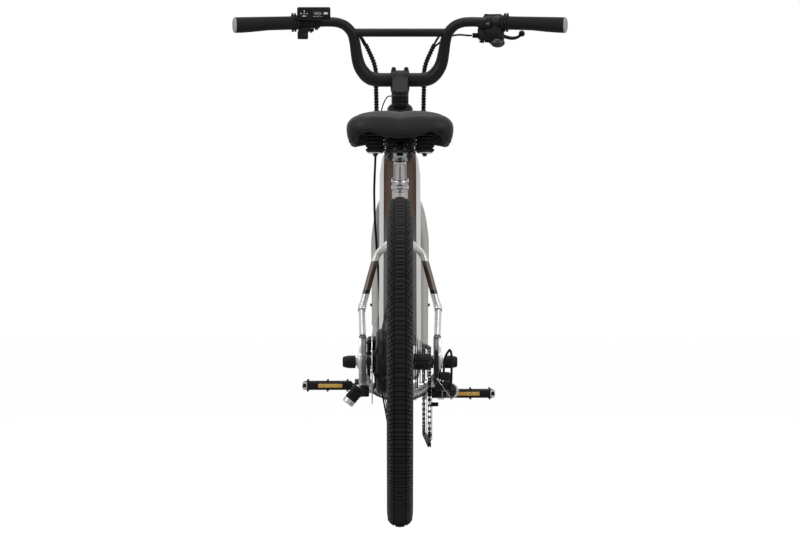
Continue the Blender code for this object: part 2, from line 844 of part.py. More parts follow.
def rear_caliper():
    """The rear caliper on its leg, which stands on the left chainstay."""
    angle = math.radians(18.8)
    block, slot = caliper("rear_caliper", REAR, -0.059, angle, -0.0115, 0.0115, 0.004)
    leg = box("leg", (0.0075, 0.016, 0.0524), behind(-0.06675, 0.076, 0.3402))
    stay = tube("stay", mirrored_points(CHAINSTAY_LINE, -1), 0.0078 + GAP, 10)
    return finish(cut(join(block, leg), slot, stay), "rear_caliper", black_paint())


def front_caliper(hung_on):
    """The front caliper behind the left fork leg, its bracket shaped round the leg."""
    angle = math.radians(148.0)
    block, slot = caliper("front_caliper", FRONT, -0.037, angle, -0.0125, 0.008, 0.004)
    radial = Vector((0.0, math.cos(angle), math.sin(angle)))
    round_leg = Vector((0.0, radial.z, -radial.y))
    arm_place = FRONT - 0.0455 * X_AXIS + (ROTOR_RADIUS - 0.003) * radial + 0.026 * round_leg
    arm = box("arm", (0.007, 0.022, 0.030), arm_place, (angle, 0, 0))
    side = -0.0525
    leg_start = steer(0.03, RAKE * (1 - 0.03 / 0.40), side)
    leg_end = steer(0.16, RAKE * (1 - 0.16 / 0.40), side)
    leg = cylinder("leg", 0.0136, leg_start, leg_end, 16)
    return finish(cut(join(block, arm), slot, leg), "front_caliper", black_paint(), hung_on)


# Drive
def pitch_radius(teeth):
    return CHAIN_PITCH / (2 * math.sin(math.pi / teeth))


def sprocket(name, teeth, centre, holes, thickness=0.0018):
    """A toothed disc: tips and roots lie inside the chain's pitch line."""
    points = []
    for k in range(2 * teeth):
        radius = pitch_radius(teeth) - (0.0012, 0.0048)[k % 2]
        points.append((radius * math.cos(math.pi * k / teeth), radius * math.sin(math.pi * k / teeth)))
    return as_mesh(outline(name, [points, *holes], thickness, centre, SIDE_ON))


def cassette(hung_on):
    """Seven cogs on the freehub's body."""
    bore, end = AXLE_RADIUS + GAP, REAR_HALF - GAP
    profile = [(0.012, end), (0.012, 0.0662), (0.0172, 0.0662), (0.0172, 0.0290)]
    profile += [(bore, 0.0290), (bore, end)]
    core = turned("cassette", profile, REAR, X_AXIS, 12, ring=True)
    cogs = [
        sprocket("cog", teeth, REAR + (OUTER_COG_X - COG_STEP * k) * X_AXIS, [circle(0.0110, 6)])
        for k, teeth in enumerate(COGS)
    ]
    return finish(join(core, merged("cogs", cogs)), "cassette", dark_steel(), hung_on)


def chainring(hung_on):
    """The front ring with five windows, bored to sit on the right crank's boss."""
    holes = [circle(0.0158, 16)]
    far, near = pitch_radius(CHAINRING_TEETH) - 0.019, 0.034
    for k in range(5):
        middle = 2 * math.pi * k / 5
        wide = [middle + math.radians(a) for a in (-26, -9, 9, 26)]
        narrow = [middle + math.radians(a) for a in (19, -19)]
        outer_edge = [(far * math.cos(a), far * math.sin(a)) for a in wide]
        holes.append([*outer_edge, *[(near * math.cos(a), near * math.sin(a)) for a in narrow]])
    centre = CRANK + CHAINRING_X * X_AXIS
    obj = sprocket("chainring", CHAINRING_TEETH, centre, holes, 0.0022)
    return finish(obj, "chainring", dark_steel(), hung_on)


GUIDE_PLACE = (0.015, 0.283)
TENSION_PLACE = (0.035, 0.194)


def pulley(name, place, hung_on):
    centre = behind(OUTER_COG_X, place[0], place[1])
    disc = sprocket(name, PULLEY_TEETH, centre, [circle(0.0033, 6)])
    hub = sleeve("hub", 0.0065, 0.0033, centre - 0.0035 * X_AXIS, centre + 0.0035 * X_AXIS, 6)
    return finish(join(disc, hub), name, black_plastic(), hung_on)


def chain_stations():
    """The chain's corners: an equal share of each arc it wraps, with the way towards its left."""
    pulley_radius = pitch_radius(PULLEY_TEETH)
    wraps = [
        (CRANK.y, CRANK.z, -pitch_radius(CHAINRING_TEETH), CHAINRING_X, math.radians(10)),
        (REAR.y, REAR.z, -pitch_radius(COGS[0]), OUTER_COG_X, math.radians(22)),
        (REAR.y + GUIDE_PLACE[0], GUIDE_PLACE[1], pulley_radius, OUTER_COG_X, 0.45),
        (REAR.y + TENSION_PLACE[0], TENSION_PLACE[1], -pulley_radius, OUTER_COG_X, 0.45),
    ]
    lefts = []
    for here, there in zip(wraps, [*wraps[1:], wraps[0]]):
        gap_y, gap_z, spread = there[0] - here[0], there[1] - here[1], here[2] - there[2]
        away = math.hypot(gap_y, gap_z)
        heading = math.atan2(gap_z, gap_y) - math.asin(spread / away)
        lefts.append(heading + math.pi / 2)
    found = []
    for index, (y, z, radius, side, step) in enumerate(wraps):
        start, end = lefts[index - 1], lefts[index]
        turn = (end - start) % (2 * math.pi) if radius < 0 else -((start - end) % (2 * math.pi))
        count = max(1, round(abs(turn) / step))
        half = abs(turn) / count / 2
        for k in range(count):
            left = start + turn * (k + 0.5) / count
            reach = radius / math.cos(half)
            place = Vector((side, y + reach * math.cos(left), z + reach * math.sin(left)))
            found.append((place, Vector((0.0, math.cos(left), math.sin(left))) / math.cos(half)))
    return found


def chain():
    """Two rows of side plates and the web between them that the teeth reach from both sides."""
    outer, inner, plate, web = 0.0034, 0.0021, 0.0041, 0.0005
    section = [
        (outer, plate), (outer, -plate), (inner, -plate), (inner, -web),
        (-inner, -web), (-inner, -plate), (-outer, -plate), (-outer, plate),
        (-inner, plate), (-inner, web), (inner, web), (inner, plate),
    ]
    shape = bmesh.new()
    rows = []
    for place, left in chain_stations():
        rows.append([shape.verts.new(place + a * X_AXIS + b * left) for a, b in section])
    for low, high in zip(rows, [*rows[1:], rows[0]]):
        for k in range(len(section)):
            after = (k + 1) % len(section)
            shape.faces.new((low[k], low[after], high[after], high[k]))
    bmesh.ops.recalc_face_normals(shape, faces=shape.faces)
    return finish(from_bmesh("chain", shape), "chain", dark_steel())


def strap_points(across, up, start_radius, end_radius, steps=6):
    """The outline round two circles, the second at (across, up) from the first."""
    heading = math.atan2(up, across)
    spread = math.acos((start_radius - end_radius) / math.hypot(across, up))
    found = []
    for k in range(steps + 1):
        angle = heading + spread + (2 * math.pi - 2 * spread) * k / steps
        found.append((start_radius * math.cos(angle), start_radius * math.sin(angle)))
    for k in range(steps + 1):
        angle = heading - spread + 2 * spread * k / steps
        found.append((across + end_radius * math.cos(angle), up + end_radius * math.sin(angle)))
    return found


def strap(name, start, end, start_radius, end_radius, thickness):
    """A flat link standing fore and aft, rounded about its two ends."""
    points = strap_points(end.y - start.y, end.z - start.z, start_radius, end_radius, 5)
    return outline(name, [points], thickness, start, SIDE_ON)


def derailleur():
    """Hanger, knuckles, link and cage of the rear changer, with the bolts its pulleys run on."""
    guide = behind(OUTER_COG_X, *GUIDE_PLACE)
    tension = behind(OUTER_COG_X, *TENSION_PLACE)
    knuckle = behind(0.0, -0.026, 0.301)
    plates = [
        strap("plate", guide + side * X_AXIS, tension + side * X_AXIS, 0.010, 0.010, 0.0012)
        for side in (0.0051, -0.0059)
    ]
    bolts = [
        cylinder("bolt", 0.0025, place - 0.0062 * X_AXIS, place + 0.0054 * X_AXIS, 8)
        for place in (guide, tension)
    ]
    hanger_top, hanger_foot = behind(0.0771, -0.0245, 0.370), behind(0.0771, -0.026, 0.301)
    hanger = strap("hanger", hanger_top, hanger_foot, 0.006, 0.008, 0.0072)
    upper = cylinder("upper", 0.012, knuckle + 0.0735 * X_AXIS, knuckle + 0.106 * X_AXIS, 16)
    lower_start = behind(0.0672, *GUIDE_PLACE)
    lower = cylinder("lower", 0.010, lower_start, lower_start + 0.0500 * X_AXIS, 16)
    link_start, link_end = knuckle + 0.0970 * X_AXIS, behind(0.0970, *GUIDE_PLACE)
    link = strap("link", link_start, link_end, 0.0105, 0.0092, 0.022)
    parts = [plates[1], *bolts, hanger, upper, lower, link]
    return finish(join(plates[0], *parts), "derailleur", dark_steel())


def crank_end(side):
    """Where a crank arm's pedal hole is: forward on the right, rearward on the left."""
    reach = CRANK_LENGTH * Vector((0.0, math.cos(CRANK_TILT), -math.sin(CRANK_TILT)))
    return CRANK + side * reach


def crank_arm(name, side):
    """One arm with its pedal spindle screwed in."""
    middle = side * 0.091 * X_AXIS
    arm = strap(name, CRANK + middle, crank_end(side) + middle, 0.0175, 0.0140, 0.014)
    start, end = crank_end(side) + side * 0.086 * X_AXIS, crank_end(side) + side * 0.200 * X_AXIS
    return join(arm, cylinder("spindle", 0.0048, start, end, 12))


def crank_right(hung_on):
    """The right arm with the boss that carries the chainring and the spindle through the shell."""
    arm = crank_arm("crank_right", 1)
    spindle = cylinder("axle", 0.0085, CRANK - 0.0995 * X_AXIS, CRANK + 0.092 * X_AXIS, 16)
    boss_start = CRANK + (SHELL_HALF + 0.006) * X_AXIS
    boss = cylinder("boss", 0.0155, boss_start, CRANK + 0.090 * X_AXIS, 16)
    shoulder_start = CRANK + (CHAINRING_X + 0.0011 + GAP) * X_AXIS
    shoulder = cylinder("shoulder", 0.0225, shoulder_start, shoulder_start + 0.006 * X_AXIS, 20)
    return finish(join(arm, spindle, boss, shoulder), "crank_right", polished_metal(), hung_on)


def crank_left(hung_on):
    arm = crank_arm("crank_left", -1)
    bore = cylinder("bore", 0.0088, CRANK - 0.12 * X_AXIS, CRANK - 0.06 * X_AXIS, 16)
    return finish(cut(arm, bore), "crank_left", black_paint(), hung_on)


def pedal(name, side, hung_on):
    """A platform pedal: a frame with two windows, pins on both faces and its bearing bore."""
    middle = crank_end(side) + side * (PEDAL_INNER + PEDAL_OUTER) / 2 * X_AXIS
    length = PEDAL_OUTER - PEDAL_INNER
    frame = box(name, (length, 0.092, 0.0185), middle, rounding=0.004)
    pins = []
    for across in (-0.4, 0.0, 0.4):
        for ahead in (-0.0415, 0.0415):
            foot = middle + Vector((across * length, ahead, -0.0125))
            pins.append((foot, foot + 0.025 * Z_AXIS))
    frame = join(frame, rods("pins", pins, 0.002, 4))
    windows = [
        box("window", (length - 0.026, 0.0235, 0.03), middle + Vector((0.0, 0.0245 * way, 0.0)))
        for way in (-1, 1)
    ]
    start, end = crank_end(side) + side * 0.09 * X_AXIS, crank_end(side) + side * 0.203 * X_AXIS
    bore = cylinder("bore", 0.0052, start, end, 12)
    return finish(cut(frame, *windows, bore), name, black_plastic(), hung_on)


# Kickstand
KICK_PIVOT = behind(-0.0925, 0.140, 0.287)
KICK_LINE = [
    (-0.0925, 0.140, 0.287),
    (-0.1030, 0.100, 0.276),
    (-0.1080, 0.030, 0.267),
    (-0.1040, -0.050, 0.271),
    (-0.0970, -0.090, 0.279),
    (-0.0960, -0.118, 0.283),
]


def kickstand_leg(hung_on):
    """The folded leg and the round eye it turns on."""
    line = smooth([behind(*point) for point in KICK_LINE], 2)
    leg = tube("kickstand_leg", line, 0.0072, 8)
    eye = cylinder("eye", 0.0115, KICK_PIVOT + 0.0082 * X_AXIS, KICK_PIVOT - 0.0080 * X_AXIS, 16)
    return finish(join(leg, eye), "kickstand_leg", brushed_metal(), hung_on)


def kickstand_foot(hung_on):
    """The rubber foot on the end of the leg, aslant so that it stands flat when swung down."""
    start, end = behind(-0.0820, -0.108, 0.2980), behind(-0.1170, -0.108, 0.2560)
    along = (end - start).normalized()
    ahead = Vector((0.0, 1.0, 0.0))
    across = along.cross(ahead).normalized()
    stations = [
        (0.0, 0.0085, 0.0200), (0.003, 0.0110, 0.0230), (0.0515, 0.0110, 0.0230), (0.0545, 0.0085, 0.0200)
    ]
    rings = [
        ring_points(start + length * along, across, ahead, wide, deep, 3.0, 14)
        for length, wide, deep in stations
    ]
    line = [behind(*point) for point in KICK_LINE[2:]]
    bore = tube("bore", smooth(line, 2), 0.0079, 8)
    return finish(cut(loft("kickstand_foot", rings), bore), "kickstand_foot", foot_rubber(), hung_on)


# Cables along the frame
LEFT_HOSE = [
    (-0.012, 0.450, 0.2535),
    (-0.020, 0.420, 0.2595),
    (-0.036, 0.380, 0.2660),
    (-0.047, 0.300, 0.2718),
    (-0.056, 0.230, 0.2788),
    (-0.0610, 0.175, 0.2855),
    (-0.0540, 0.150, 0.2945),
    (-0.0530, 0.136, 0.3150),
    (-0.0590, 0.120, 0.3360),
    (-0.0645, 0.100, 0.3530),
]
SHIFT_HOUSING = [
    (0.012, 0.450, 0.2535),
    (0.020, 0.420, 0.2595),
    (0.036, 0.380, 0.2660),
    (0.047, 0.300, 0.2718),
    (0.056, 0.230, 0.2788),
    (0.0645, 0.150, 0.2888),
    (0.0680, 0.120, 0.2915),
    (0.0840, 0.090, 0.2950),
    (0.0915, 0.055, 0.3060),
    (0.0925, 0.015, 0.3190),
    (0.0935, -0.026, 0.3440),
    (0.0985, -0.040, 0.3700),
    (0.1060, -0.048, 0.3690),
    (0.1085, -0.050, 0.3400),
    (0.1080, -0.046, 0.3080),
    (0.1060, -0.0400, 0.2880),
]


def rear_cables():
    """The rear brake hose and the shift housing, held side by side under the crank's shell."""
    hose = tube("rear_cables", [behind(*point) for point in LEFT_HOSE], 0.0025, 6)
    housing = tube("housing", [behind(*point) for point in SHIFT_HOUSING], 0.0025, 6)
    guide = box("guide", (0.034, 0.016, 0.0065), behind(0.0, 0.450, 0.2540), rounding=0.001)
    return finish(join(guide, hose, housing), "rear_cables", cable_sheath())


# Fork and steering column
def fork(hung_on):
    """The steerer, crown and legs with the plates that hold the front axle."""
    leg = [(0.020, 0.0525), (0.150, 0.0525), (0.278, 0.0525), (0.310, 0.0508), (0.345, 0.0462)]
    leg += [(0.375, 0.0400), (0.396, 0.0310), (0.4050, 0.0180)]
    right = [steer(s, RAKE * (1 - s / 0.40), side) for s, side in leg]
    left = [steer(s, RAKE * (1 - s / 0.40), -side) for s, side in leg]
    radii = [0.0125, 0.0130, 0.0140, 0.0142, 0.0146, 0.0150, 0.0155, 0.0158]
    crown = steer(0.4075)
    line = [*left, crown, *reversed(right)]
    arch = tube("fork", line, 0.0158, 12, [*radii, 0.016, *reversed(radii)])
    race_top = HEAD_LOW - 0.008 - GAP
    steerer = cylinder("steerer", STEERER_RADIUS, steer(0.402), steer(STEM_HIGH - 0.004), 16)
    race = cylinder("race", 0.018, steer(0.412), steer(race_top), 16, 0.0235)
    plates = []
    for side in (-1, 1):
        middle = side * (FRONT_HALF + 0.0035) * X_AXIS
        foot, top = FRONT + middle, steer(0.040, RAKE * 0.9) + middle
        plates.append(strap("plate", foot, top, 0.0130, 0.0095, 0.007))
    bore = cylinder("bore", AXLE_RADIUS + GAP, FRONT - 0.1 * X_AXIS, FRONT + 0.1 * X_AXIS, 16)
    shape = cut(join(arch, steerer, race, *plates), bore)
    return finish(shape, "fork", fork_paint(), hung_on)


BAR_CLAMP = steer(0.672, 0.0568)
BAR_LINE = [
    (0.0, 0.0, 0.0020),
    (0.051, 0.0, 0.0020),
    (0.072, -0.0005, 0.0080),
    (0.087, -0.0030, 0.0240),
    (0.095, -0.0050, 0.0420),
    (0.100, -0.0090, 0.0670),
    (0.103, -0.0130, 0.0870),
    (0.109, -0.0180, 0.1070),
    (0.123, -0.0230, 0.1230),
    (0.140, -0.0265, 0.1305),
    (0.160, -0.0298, 0.1325),
]
BAR_END = (BAR_HALF, -0.0832, 0.1265)
CROSSBAR_HEIGHT = 0.1085


def bar_point(side):
    """The middle of the handlebar's straight end at this distance to the right or left."""
    start, end = Vector(BAR_LINE[-1]), Vector(BAR_END)
    found = start.lerp(end, (abs(side) - start.x) / (end.x - start.x))
    return BAR_CLAMP + Vector((math.copysign(found.x, side), found.y, found.z - 0.0020))


def handlebar(hung_on):
    """The high bar with its crossbar, thick at the clamp and thinner towards the grips."""
    half = [BAR_CLAMP + Vector((x, y, z - 0.0020)) for x, y, z in [*BAR_LINE, BAR_END]]
    radii = [BAR_CENTRE_RADIUS, BAR_CENTRE_RADIUS, 0.0156, 0.0148, 0.0140, 0.0130]
    radii += [0.0124, 0.0118, BAR_RADIUS, BAR_RADIUS, BAR_RADIUS, BAR_RADIUS]
    flip = Matrix.Scale(-1, 4, X_AXIS)
    left = [flip @ point for point in reversed(half[1:])]
    bar = tube("handlebar", [*left, *half], BAR_CENTRE_RADIUS, 12, [*reversed(radii[1:]), *radii])
    height = Vector((0.0, -0.0180, CROSSBAR_HEIGHT - 0.002))
    reach = 0.1075 * X_AXIS
    middle = BAR_CLAMP + height
    crossbar = cylinder("crossbar", 0.0095, middle - reach, middle + reach, 8)
    return finish(join(bar, crossbar), "handlebar", black_paint(), hung_on)


def stem(hung_on):
    """The stem: its clamp on the steerer, its clamp on the bar, their bolts and slits."""
    low = steer((STEM_LOW + STEM_HIGH) / 2)
    arm = strap("stem", low, BAR_CLAMP, 0.0185, 0.0195, 0.034)
    reach = 0.021 * X_AXIS
    clamp = cylinder("clamp", 0.0215, BAR_CLAMP - reach, BAR_CLAMP + reach, 20)
    column = cylinder("column", 0.0195, steer(STEM_LOW), steer(STEM_HIGH), 20)
    bolts = []
    for side in (-1, 1):
        foot = BAR_CLAMP + Vector((side * 0.0143, 0.0, 0.015))
        bolts.append(cylinder("ear", 0.0052, foot, foot + Vector((0.0, 0.0, 0.0125)), 8))
    for along in (STEM_LOW + 0.010, STEM_LOW + 0.029):
        start, end = steer(along, -0.0190, -0.013), steer(along, -0.0190, 0.013)
        bolts.append(cylinder("bolt", 0.0045, start, end, 8))
    bore_end = steer(STEM_HIGH - 0.004 + GAP)
    bores = [
        cylinder("bore", STEERER_RADIUS + GAP, steer(STEM_LOW - 0.02), bore_end, 20),
        cylinder("bore", BAR_CENTRE_RADIUS + GAP, BAR_CLAMP - 2 * reach, BAR_CLAMP + 2 * reach, 20),
    ]
    slit_turn = (math.pi / 2 - HEAD_ANGLE, 0.0, 0.0)
    slit = box("slit", (0.0018, 0.012, 0.06), steer((STEM_LOW + STEM_HIGH) / 2, -0.0210), slit_turn)
    shape = cut(join(arm, clamp, column, *bolts), *bores, slit)
    return finish(shape, "stem", black_paint(), hung_on)


def grip(name, side, hung_on):
    """A shaped grip, fuller below and towards the rider at its outer end, with a ringed collar."""
    along = (bar_point(side * BAR_HALF) - bar_point(side * GRIP_INNER)).normalized()
    ahead = Vector((0.0, 0.0, 1.0)).cross(side * along).normalized()
    up = (side * along).cross(ahead).normalized()
    stations = [
        (GRIP_INNER, 0.0165, 0.0165, 0.0),
        (GRIP_INNER + 0.0160, 0.0165, 0.0165, 0.0),
        (GRIP_INNER + 0.0175, 0.0156, 0.0158, -0.0010),
        (0.300, 0.0158, 0.0162, -0.0013),
        (0.333, 0.0172, 0.0182, -0.0027),
        (0.360, 0.0180, 0.0192, -0.0035),
        (GRIP_OUTER - 0.0015, 0.0176, 0.0184, -0.0035),
        (GRIP_OUTER, 0.0160, 0.0168, -0.0035),
    ]
    rings = []
    for reach, tall, deep, drop in stations:
        centre = bar_point(side * reach) + drop * up - (deep - tall) * ahead
        rings.append(ring_points(centre, ahead, up, deep, tall, 2.3, 14))
    start, end = bar_point(side * 0.20), bar_point(side * (BAR_HALF + GAP))
    bore = cylinder("bore", BAR_RADIUS + GAP, start, end, 20)
    return finish(cut(loft(name, rings), bore), name, grip_rubber(), hung_on)


# Controls on the bar
BAR_BORE = BAR_RADIUS + GAP
LEVER_OFFSET = -0.0105
PERCH_RIGHT = (0.2140, 0.2285)
PERCH_LEFT = (0.1965, 0.2075)
LEVER_RIGHT = [
    (0.0, 0.0005, -0.0085),
    (0.0048, 0.0035, -0.0180),
    (0.0170, 0.0085, -0.0262),
    (0.0342, 0.0097, -0.0300),
    (0.0472, 0.0087, -0.0272),
    (0.0559, 0.0077, -0.0195),
]
LEVER_LEFT = [
    (0.0, 0.0005, -0.0065),
    (0.0160, 0.0080, -0.0050),
    (0.0360, 0.0095, -0.0035),
    (0.0560, 0.0080, -0.0030),
]


def off_bar(side, across, ahead=0.0, up=0.0):
    """A point square off the bar's straight end, ahead of it and above it."""
    slope = (BAR_END[1] - BAR_LINE[-1][1]) / (BAR_END[0] - BAR_LINE[-1][0])
    square = Vector((-side * slope, 1.0, 0.0)).normalized()
    return bar_point(side * across) + ahead * square + up * Z_AXIS


def bar_turn(side):
    """The turn that lines a block up with the bar's straight end."""
    return (0.0, 0.0, side * math.atan2(BAR_END[1] - BAR_LINE[-1][1], BAR_END[0] - BAR_LINE[-1][0]))


def ring_on_bar(name, side, start, end, radius, sides=16):
    return sleeve(name, radius, BAR_BORE, bar_point(side * start), bar_point(side * end), sides)


def bar_bore(side, start, end):
    reach = 0.03
    return cylinder(
        "bore", BAR_BORE, bar_point(side * (start - reach)), bar_point(side * (end + reach)), 16
    )


def lever_pivot(side, band):
    """The top of a brake lever's pin, outboard of the clamp band and ahead of the bar."""
    return off_bar(side, (band[0] + band[1]) / 2 + LEVER_OFFSET, 0.0445, -0.004)


def brake_perch(name, side, band, hung_on):
    """A lever's clamp band, neck, body and the pin under it."""
    pivot = lever_pivot(side, band)
    middle = (band[0] + band[1]) / 2
    ring = ring_on_bar(name, side, band[0], band[1], 0.0150)
    turn = bar_turn(side)
    neck_size = (band[1] - band[0] - GAP, 0.024, 0.015)
    neck = box("neck", neck_size, off_bar(side, middle, 0.0200, 0.0065), turn)
    block_place = off_bar(side, middle - 0.0190, 0.0395, 0.0085)
    block = box("block", (0.044, 0.026, 0.019), block_place, turn, rounding=0.004)
    pin = cylinder("pin", 0.0026, pivot - 0.0185 * Z_AXIS, pivot + 0.004 * Z_AXIS, 10)
    shape = cut(join(ring, neck, block, pin), bar_bore(side, band[0], band[1]))
    return finish(shape, name, black_paint(), hung_on)


def brake_lever(name, side, band, steps, hung_on):
    """The blade through its steps outward from the knuckle, and the ball at its end."""
    pivot = lever_pivot(side, band)
    top = pivot + 0.0027 * Z_AXIS
    knuckle = cylinder("knuckle", 0.0065, top - 0.0185 * Z_AXIS, top, 12)
    line = [pivot + Vector((side * x, y, z)) for x, y, z in steps]
    blade = tube(name, smooth(line, 2), 0.0046, 8)
    shape = bmesh.new()
    bmesh.ops.create_uvsphere(shape, u_segments=8, v_segments=5, radius=0.0072)
    ball = from_bmesh("ball", shape)
    ball.location = line[-1]
    bore = cylinder("bore", 0.0026 + GAP, pivot - 0.04 * Z_AXIS, pivot + 0.02 * Z_AXIS, 10)
    return finish(cut(join(knuckle, blade, ball), bore), name, black_paint(), hung_on)


DISPLAY_BAND = (0.1840, 0.1955)
DISPLAY_BOX = (-0.1954, -0.0335, 0.0175)
DISPLAY_SIZE = (0.0756, 0.0140, 0.0300)


def display_place():
    return bar_point(-0.19) + Vector((DISPLAY_BOX[0] + 0.19, DISPLAY_BOX[1], DISPLAY_BOX[2]))


def keypad_place():
    return display_place() + Vector((-0.0218, -DISPLAY_SIZE[1] / 2, 0.0))


def display_unit(hung_on):
    """The display's case behind the bar, with the pocket its keypad sits in."""
    case = box("display_unit", DISPLAY_SIZE, display_place(), rounding=0.003, segments=2)
    ring = ring_on_bar("ring", -1, DISPLAY_BAND[0], DISPLAY_BAND[1], 0.0145)
    middle = sum(DISPLAY_BAND) / 2
    arm = box("arm", (0.0095, 0.026, 0.012), off_bar(-1, middle, -0.0180, 0.0085), bar_turn(-1))
    nub = cylinder("nub", 0.0035, off_bar(-1, middle, 0.0, -0.018), off_bar(-1, middle, 0.0, -0.012), 8)
    pocket = box("pocket", (0.0204 + 2 * GAP, 0.0080, 0.0170 + 2 * GAP), keypad_place())
    shape = cut(join(case, ring, arm, nub), bar_bore(-1, *DISPLAY_BAND), pocket)
    return finish(shape, "display_unit", black_plastic(), hung_on)


def display_keypad(hung_on):
    """The button pad, standing a little proud of the case."""
    place = keypad_place() + Vector((0.0, 0.0002, 0.0))
    pad = box("display_keypad", (0.0204, 0.0030, 0.0170), place, rounding=0.0008)
    return finish(pad, "display_keypad", grip_rubber(), hung_on)


THROTTLE_BAND = (0.2085, 0.2230)
THROTTLE_RING = (0.2240, 0.2285)


def throttle_housing(hung_on):
    ring = ring_on_bar("throttle_housing", -1, THROTTLE_BAND[0], THROTTLE_BAND[1], 0.0155, 18)
    return finish(ring, "throttle_housing", black_plastic(), hung_on)


def throttle_lever(hung_on):
    """The thumb paddle below the bar and the ring it turns with."""
    ring = ring_on_bar("throttle_lever", -1, THROTTLE_RING[0], THROTTLE_RING[1], 0.0148, 18)
    middle, turn = sum(THROTTLE_RING) / 2, bar_turn(-1)
    neck = box("neck", (0.0042, 0.009, 0.012), off_bar(-1, middle, -0.0030, -0.0185), turn)
    paddle_place = off_bar(-1, middle - 0.0045, -0.0045, -0.0290)
    paddle = box("paddle", (0.0240, 0.008, 0.0190), paddle_place, turn, rounding=0.002)
    return finish(join(ring, neck, paddle), "throttle_lever", black_plastic(), hung_on)


SHIFTER_BAND = (0.1975, 0.2085)


def shifter_pod():
    return off_bar(1, 0.1945, 0.0065, -0.0260)


def thumb_pivot():
    return shifter_pod() + Vector((0.004, 0.0, -0.0155))


def trigger_pivot():
    return shifter_pod() + Vector((-0.0100, 0.0105, -0.0155))


def shifter_housing(hung_on):
    """The shifter's clamp, pod, gear window and cable barrel, with its two lever pins."""
    ring = ring_on_bar("shifter_housing", 1, SHIFTER_BAND[0], SHIFTER_BAND[1], 0.0145)
    pod_place = shifter_pod()
    turn = bar_turn(1)
    pod = box("pod", (0.035, 0.034, 0.0305), pod_place, turn, rounding=0.005)
    neck = box("neck", (0.009, 0.016, 0.020), off_bar(1, 0.203, 0.003, -0.0125), turn)
    window_place = off_bar(1, 0.1877, -0.0165, -0.0010)
    window = box("window", (0.0274, 0.018, 0.0113), window_place, turn, rounding=0.002)
    barrel_end, barrel_root = (
        pod_place + Vector((-0.031, 0.0, -0.004)), pod_place + Vector((-0.012, 0.0, -0.004))
    )
    barrel = cylinder("barrel", 0.0055, barrel_end, barrel_root, 12)
    pins = [
        cylinder("pin", 0.003, place - 0.0045 * Z_AXIS, place + 0.004 * Z_AXIS, 10)
        for place in (thumb_pivot(), trigger_pivot())
    ]
    shape = cut(join(ring, neck, pod, window, barrel, *pins), bar_bore(1, *SHIFTER_BAND))
    return finish(shape, "shifter_housing", black_plastic(), hung_on)


def thumb_disc(name, place, radius):
    return cylinder(name, radius, place - 0.0042 * Z_AXIS, place, 14)


def pin_bore(place):
    return cylinder("bore", 0.003 + GAP, place - 0.02 * Z_AXIS, place + 0.004 * Z_AXIS, 10)


def shift_lever(hung_on):
    """The thumb paddle under the pod, reaching towards the rider."""
    place = thumb_pivot()
    disc = thumb_disc("shift_lever", place, 0.0080)
    reach = [place + Vector((0.004, -0.003, -0.0036)), place + Vector((0.0180, -0.0200, -0.0062))]
    arm = tube("arm", reach, 0.0032, 8)
    shape = bmesh.new()
    bmesh.ops.create_uvsphere(shape, u_segments=10, v_segments=6, radius=1.0)
    bmesh.ops.scale(shape, vec=Vector((0.0165, 0.0095, 0.0080)), verts=shape.verts)
    paddle = from_bmesh("paddle", shape)
    paddle.location = place + Vector((0.0215, -0.0230, -0.0084))
    bore = pin_bore(place)
    return finish(cut(join(disc, arm, paddle), bore), "shift_lever", black_plastic(), hung_on)


def release_trigger(hung_on):
    """The small forward lever that lets the cable go."""
    place = trigger_pivot()
    disc = thumb_disc("release_trigger", place, 0.0058)
    arm = box("arm", (0.0070, 0.0300, 0.0036), place + Vector((0.0020, 0.0170, -0.0021)))
    return finish(cut(join(disc, arm), pin_bore(place)), "release_trigger", black_plastic(), hung_on)


LEFT_LOOM = [
    (-0.158, 0.3400, 1.1160),
    (-0.135, 0.3720, 1.1080),
    (-0.100, 0.3920, 1.0900),
    (-0.080, 0.3950, 1.0600),
    (-0.0600, 0.3900, 1.0080),
    (-0.0545, 0.3850, 0.9500),
    (-0.0500, 0.3750, 0.8900),
    (-0.0450, 0.3500, 0.8350),
    (-0.0385, 0.3385, 0.8175),
]
FRONT_HOSE = [
    (-0.0520, 0.3800, 0.9200),
    (-0.0550, 0.3650, 0.8600),
    (-0.0560, 0.3580, 0.8110),
    (-0.0585, 0.3620, 0.7300),
    (-0.0570, 0.3850, 0.6600),
    (-0.0540, 0.4140, 0.6000),
    (-0.0500, 0.4400, 0.5400),
    (-0.0460, 0.4760, 0.4700),
    (-0.0440, 0.4775, 0.4340),
    (-0.0425, 0.4836, 0.4213),
    (-0.0420, 0.4938, 0.4149),
]


def loom(name, line, extra):
    """A cable that thickens into its ribbed sleeve, with a thinner one beside it."""
    middle = smooth(line, 2)
    radii = [0.0026 if k < 5 else 0.0048 for k in range(len(middle))]
    whole = tube(name, middle, 0.0048, 8, radii)
    return join(whole, *[tube("branch", smooth(points, 2), radius, 6) for points, radius in extra])


def mirrored_line(line):
    return [(-x, y, z) for x, y, z in line]


def cables_left(hung_on):
    """The left looms: brake hose to the front caliper and the wires into the frame."""
    wires = [
        (-0.1860, 0.3160, 1.0900), (-0.150, 0.3550, 1.0880),
        (-0.110, 0.3840, 1.0720), (-0.078, 0.3935, 1.0560),
    ]
    shape = loom("cables_left", LEFT_LOOM, [(FRONT_HOSE, 0.0026), (wires, 0.0020)])
    return finish(shape, "cables_left", cable_sheath(), hung_on)


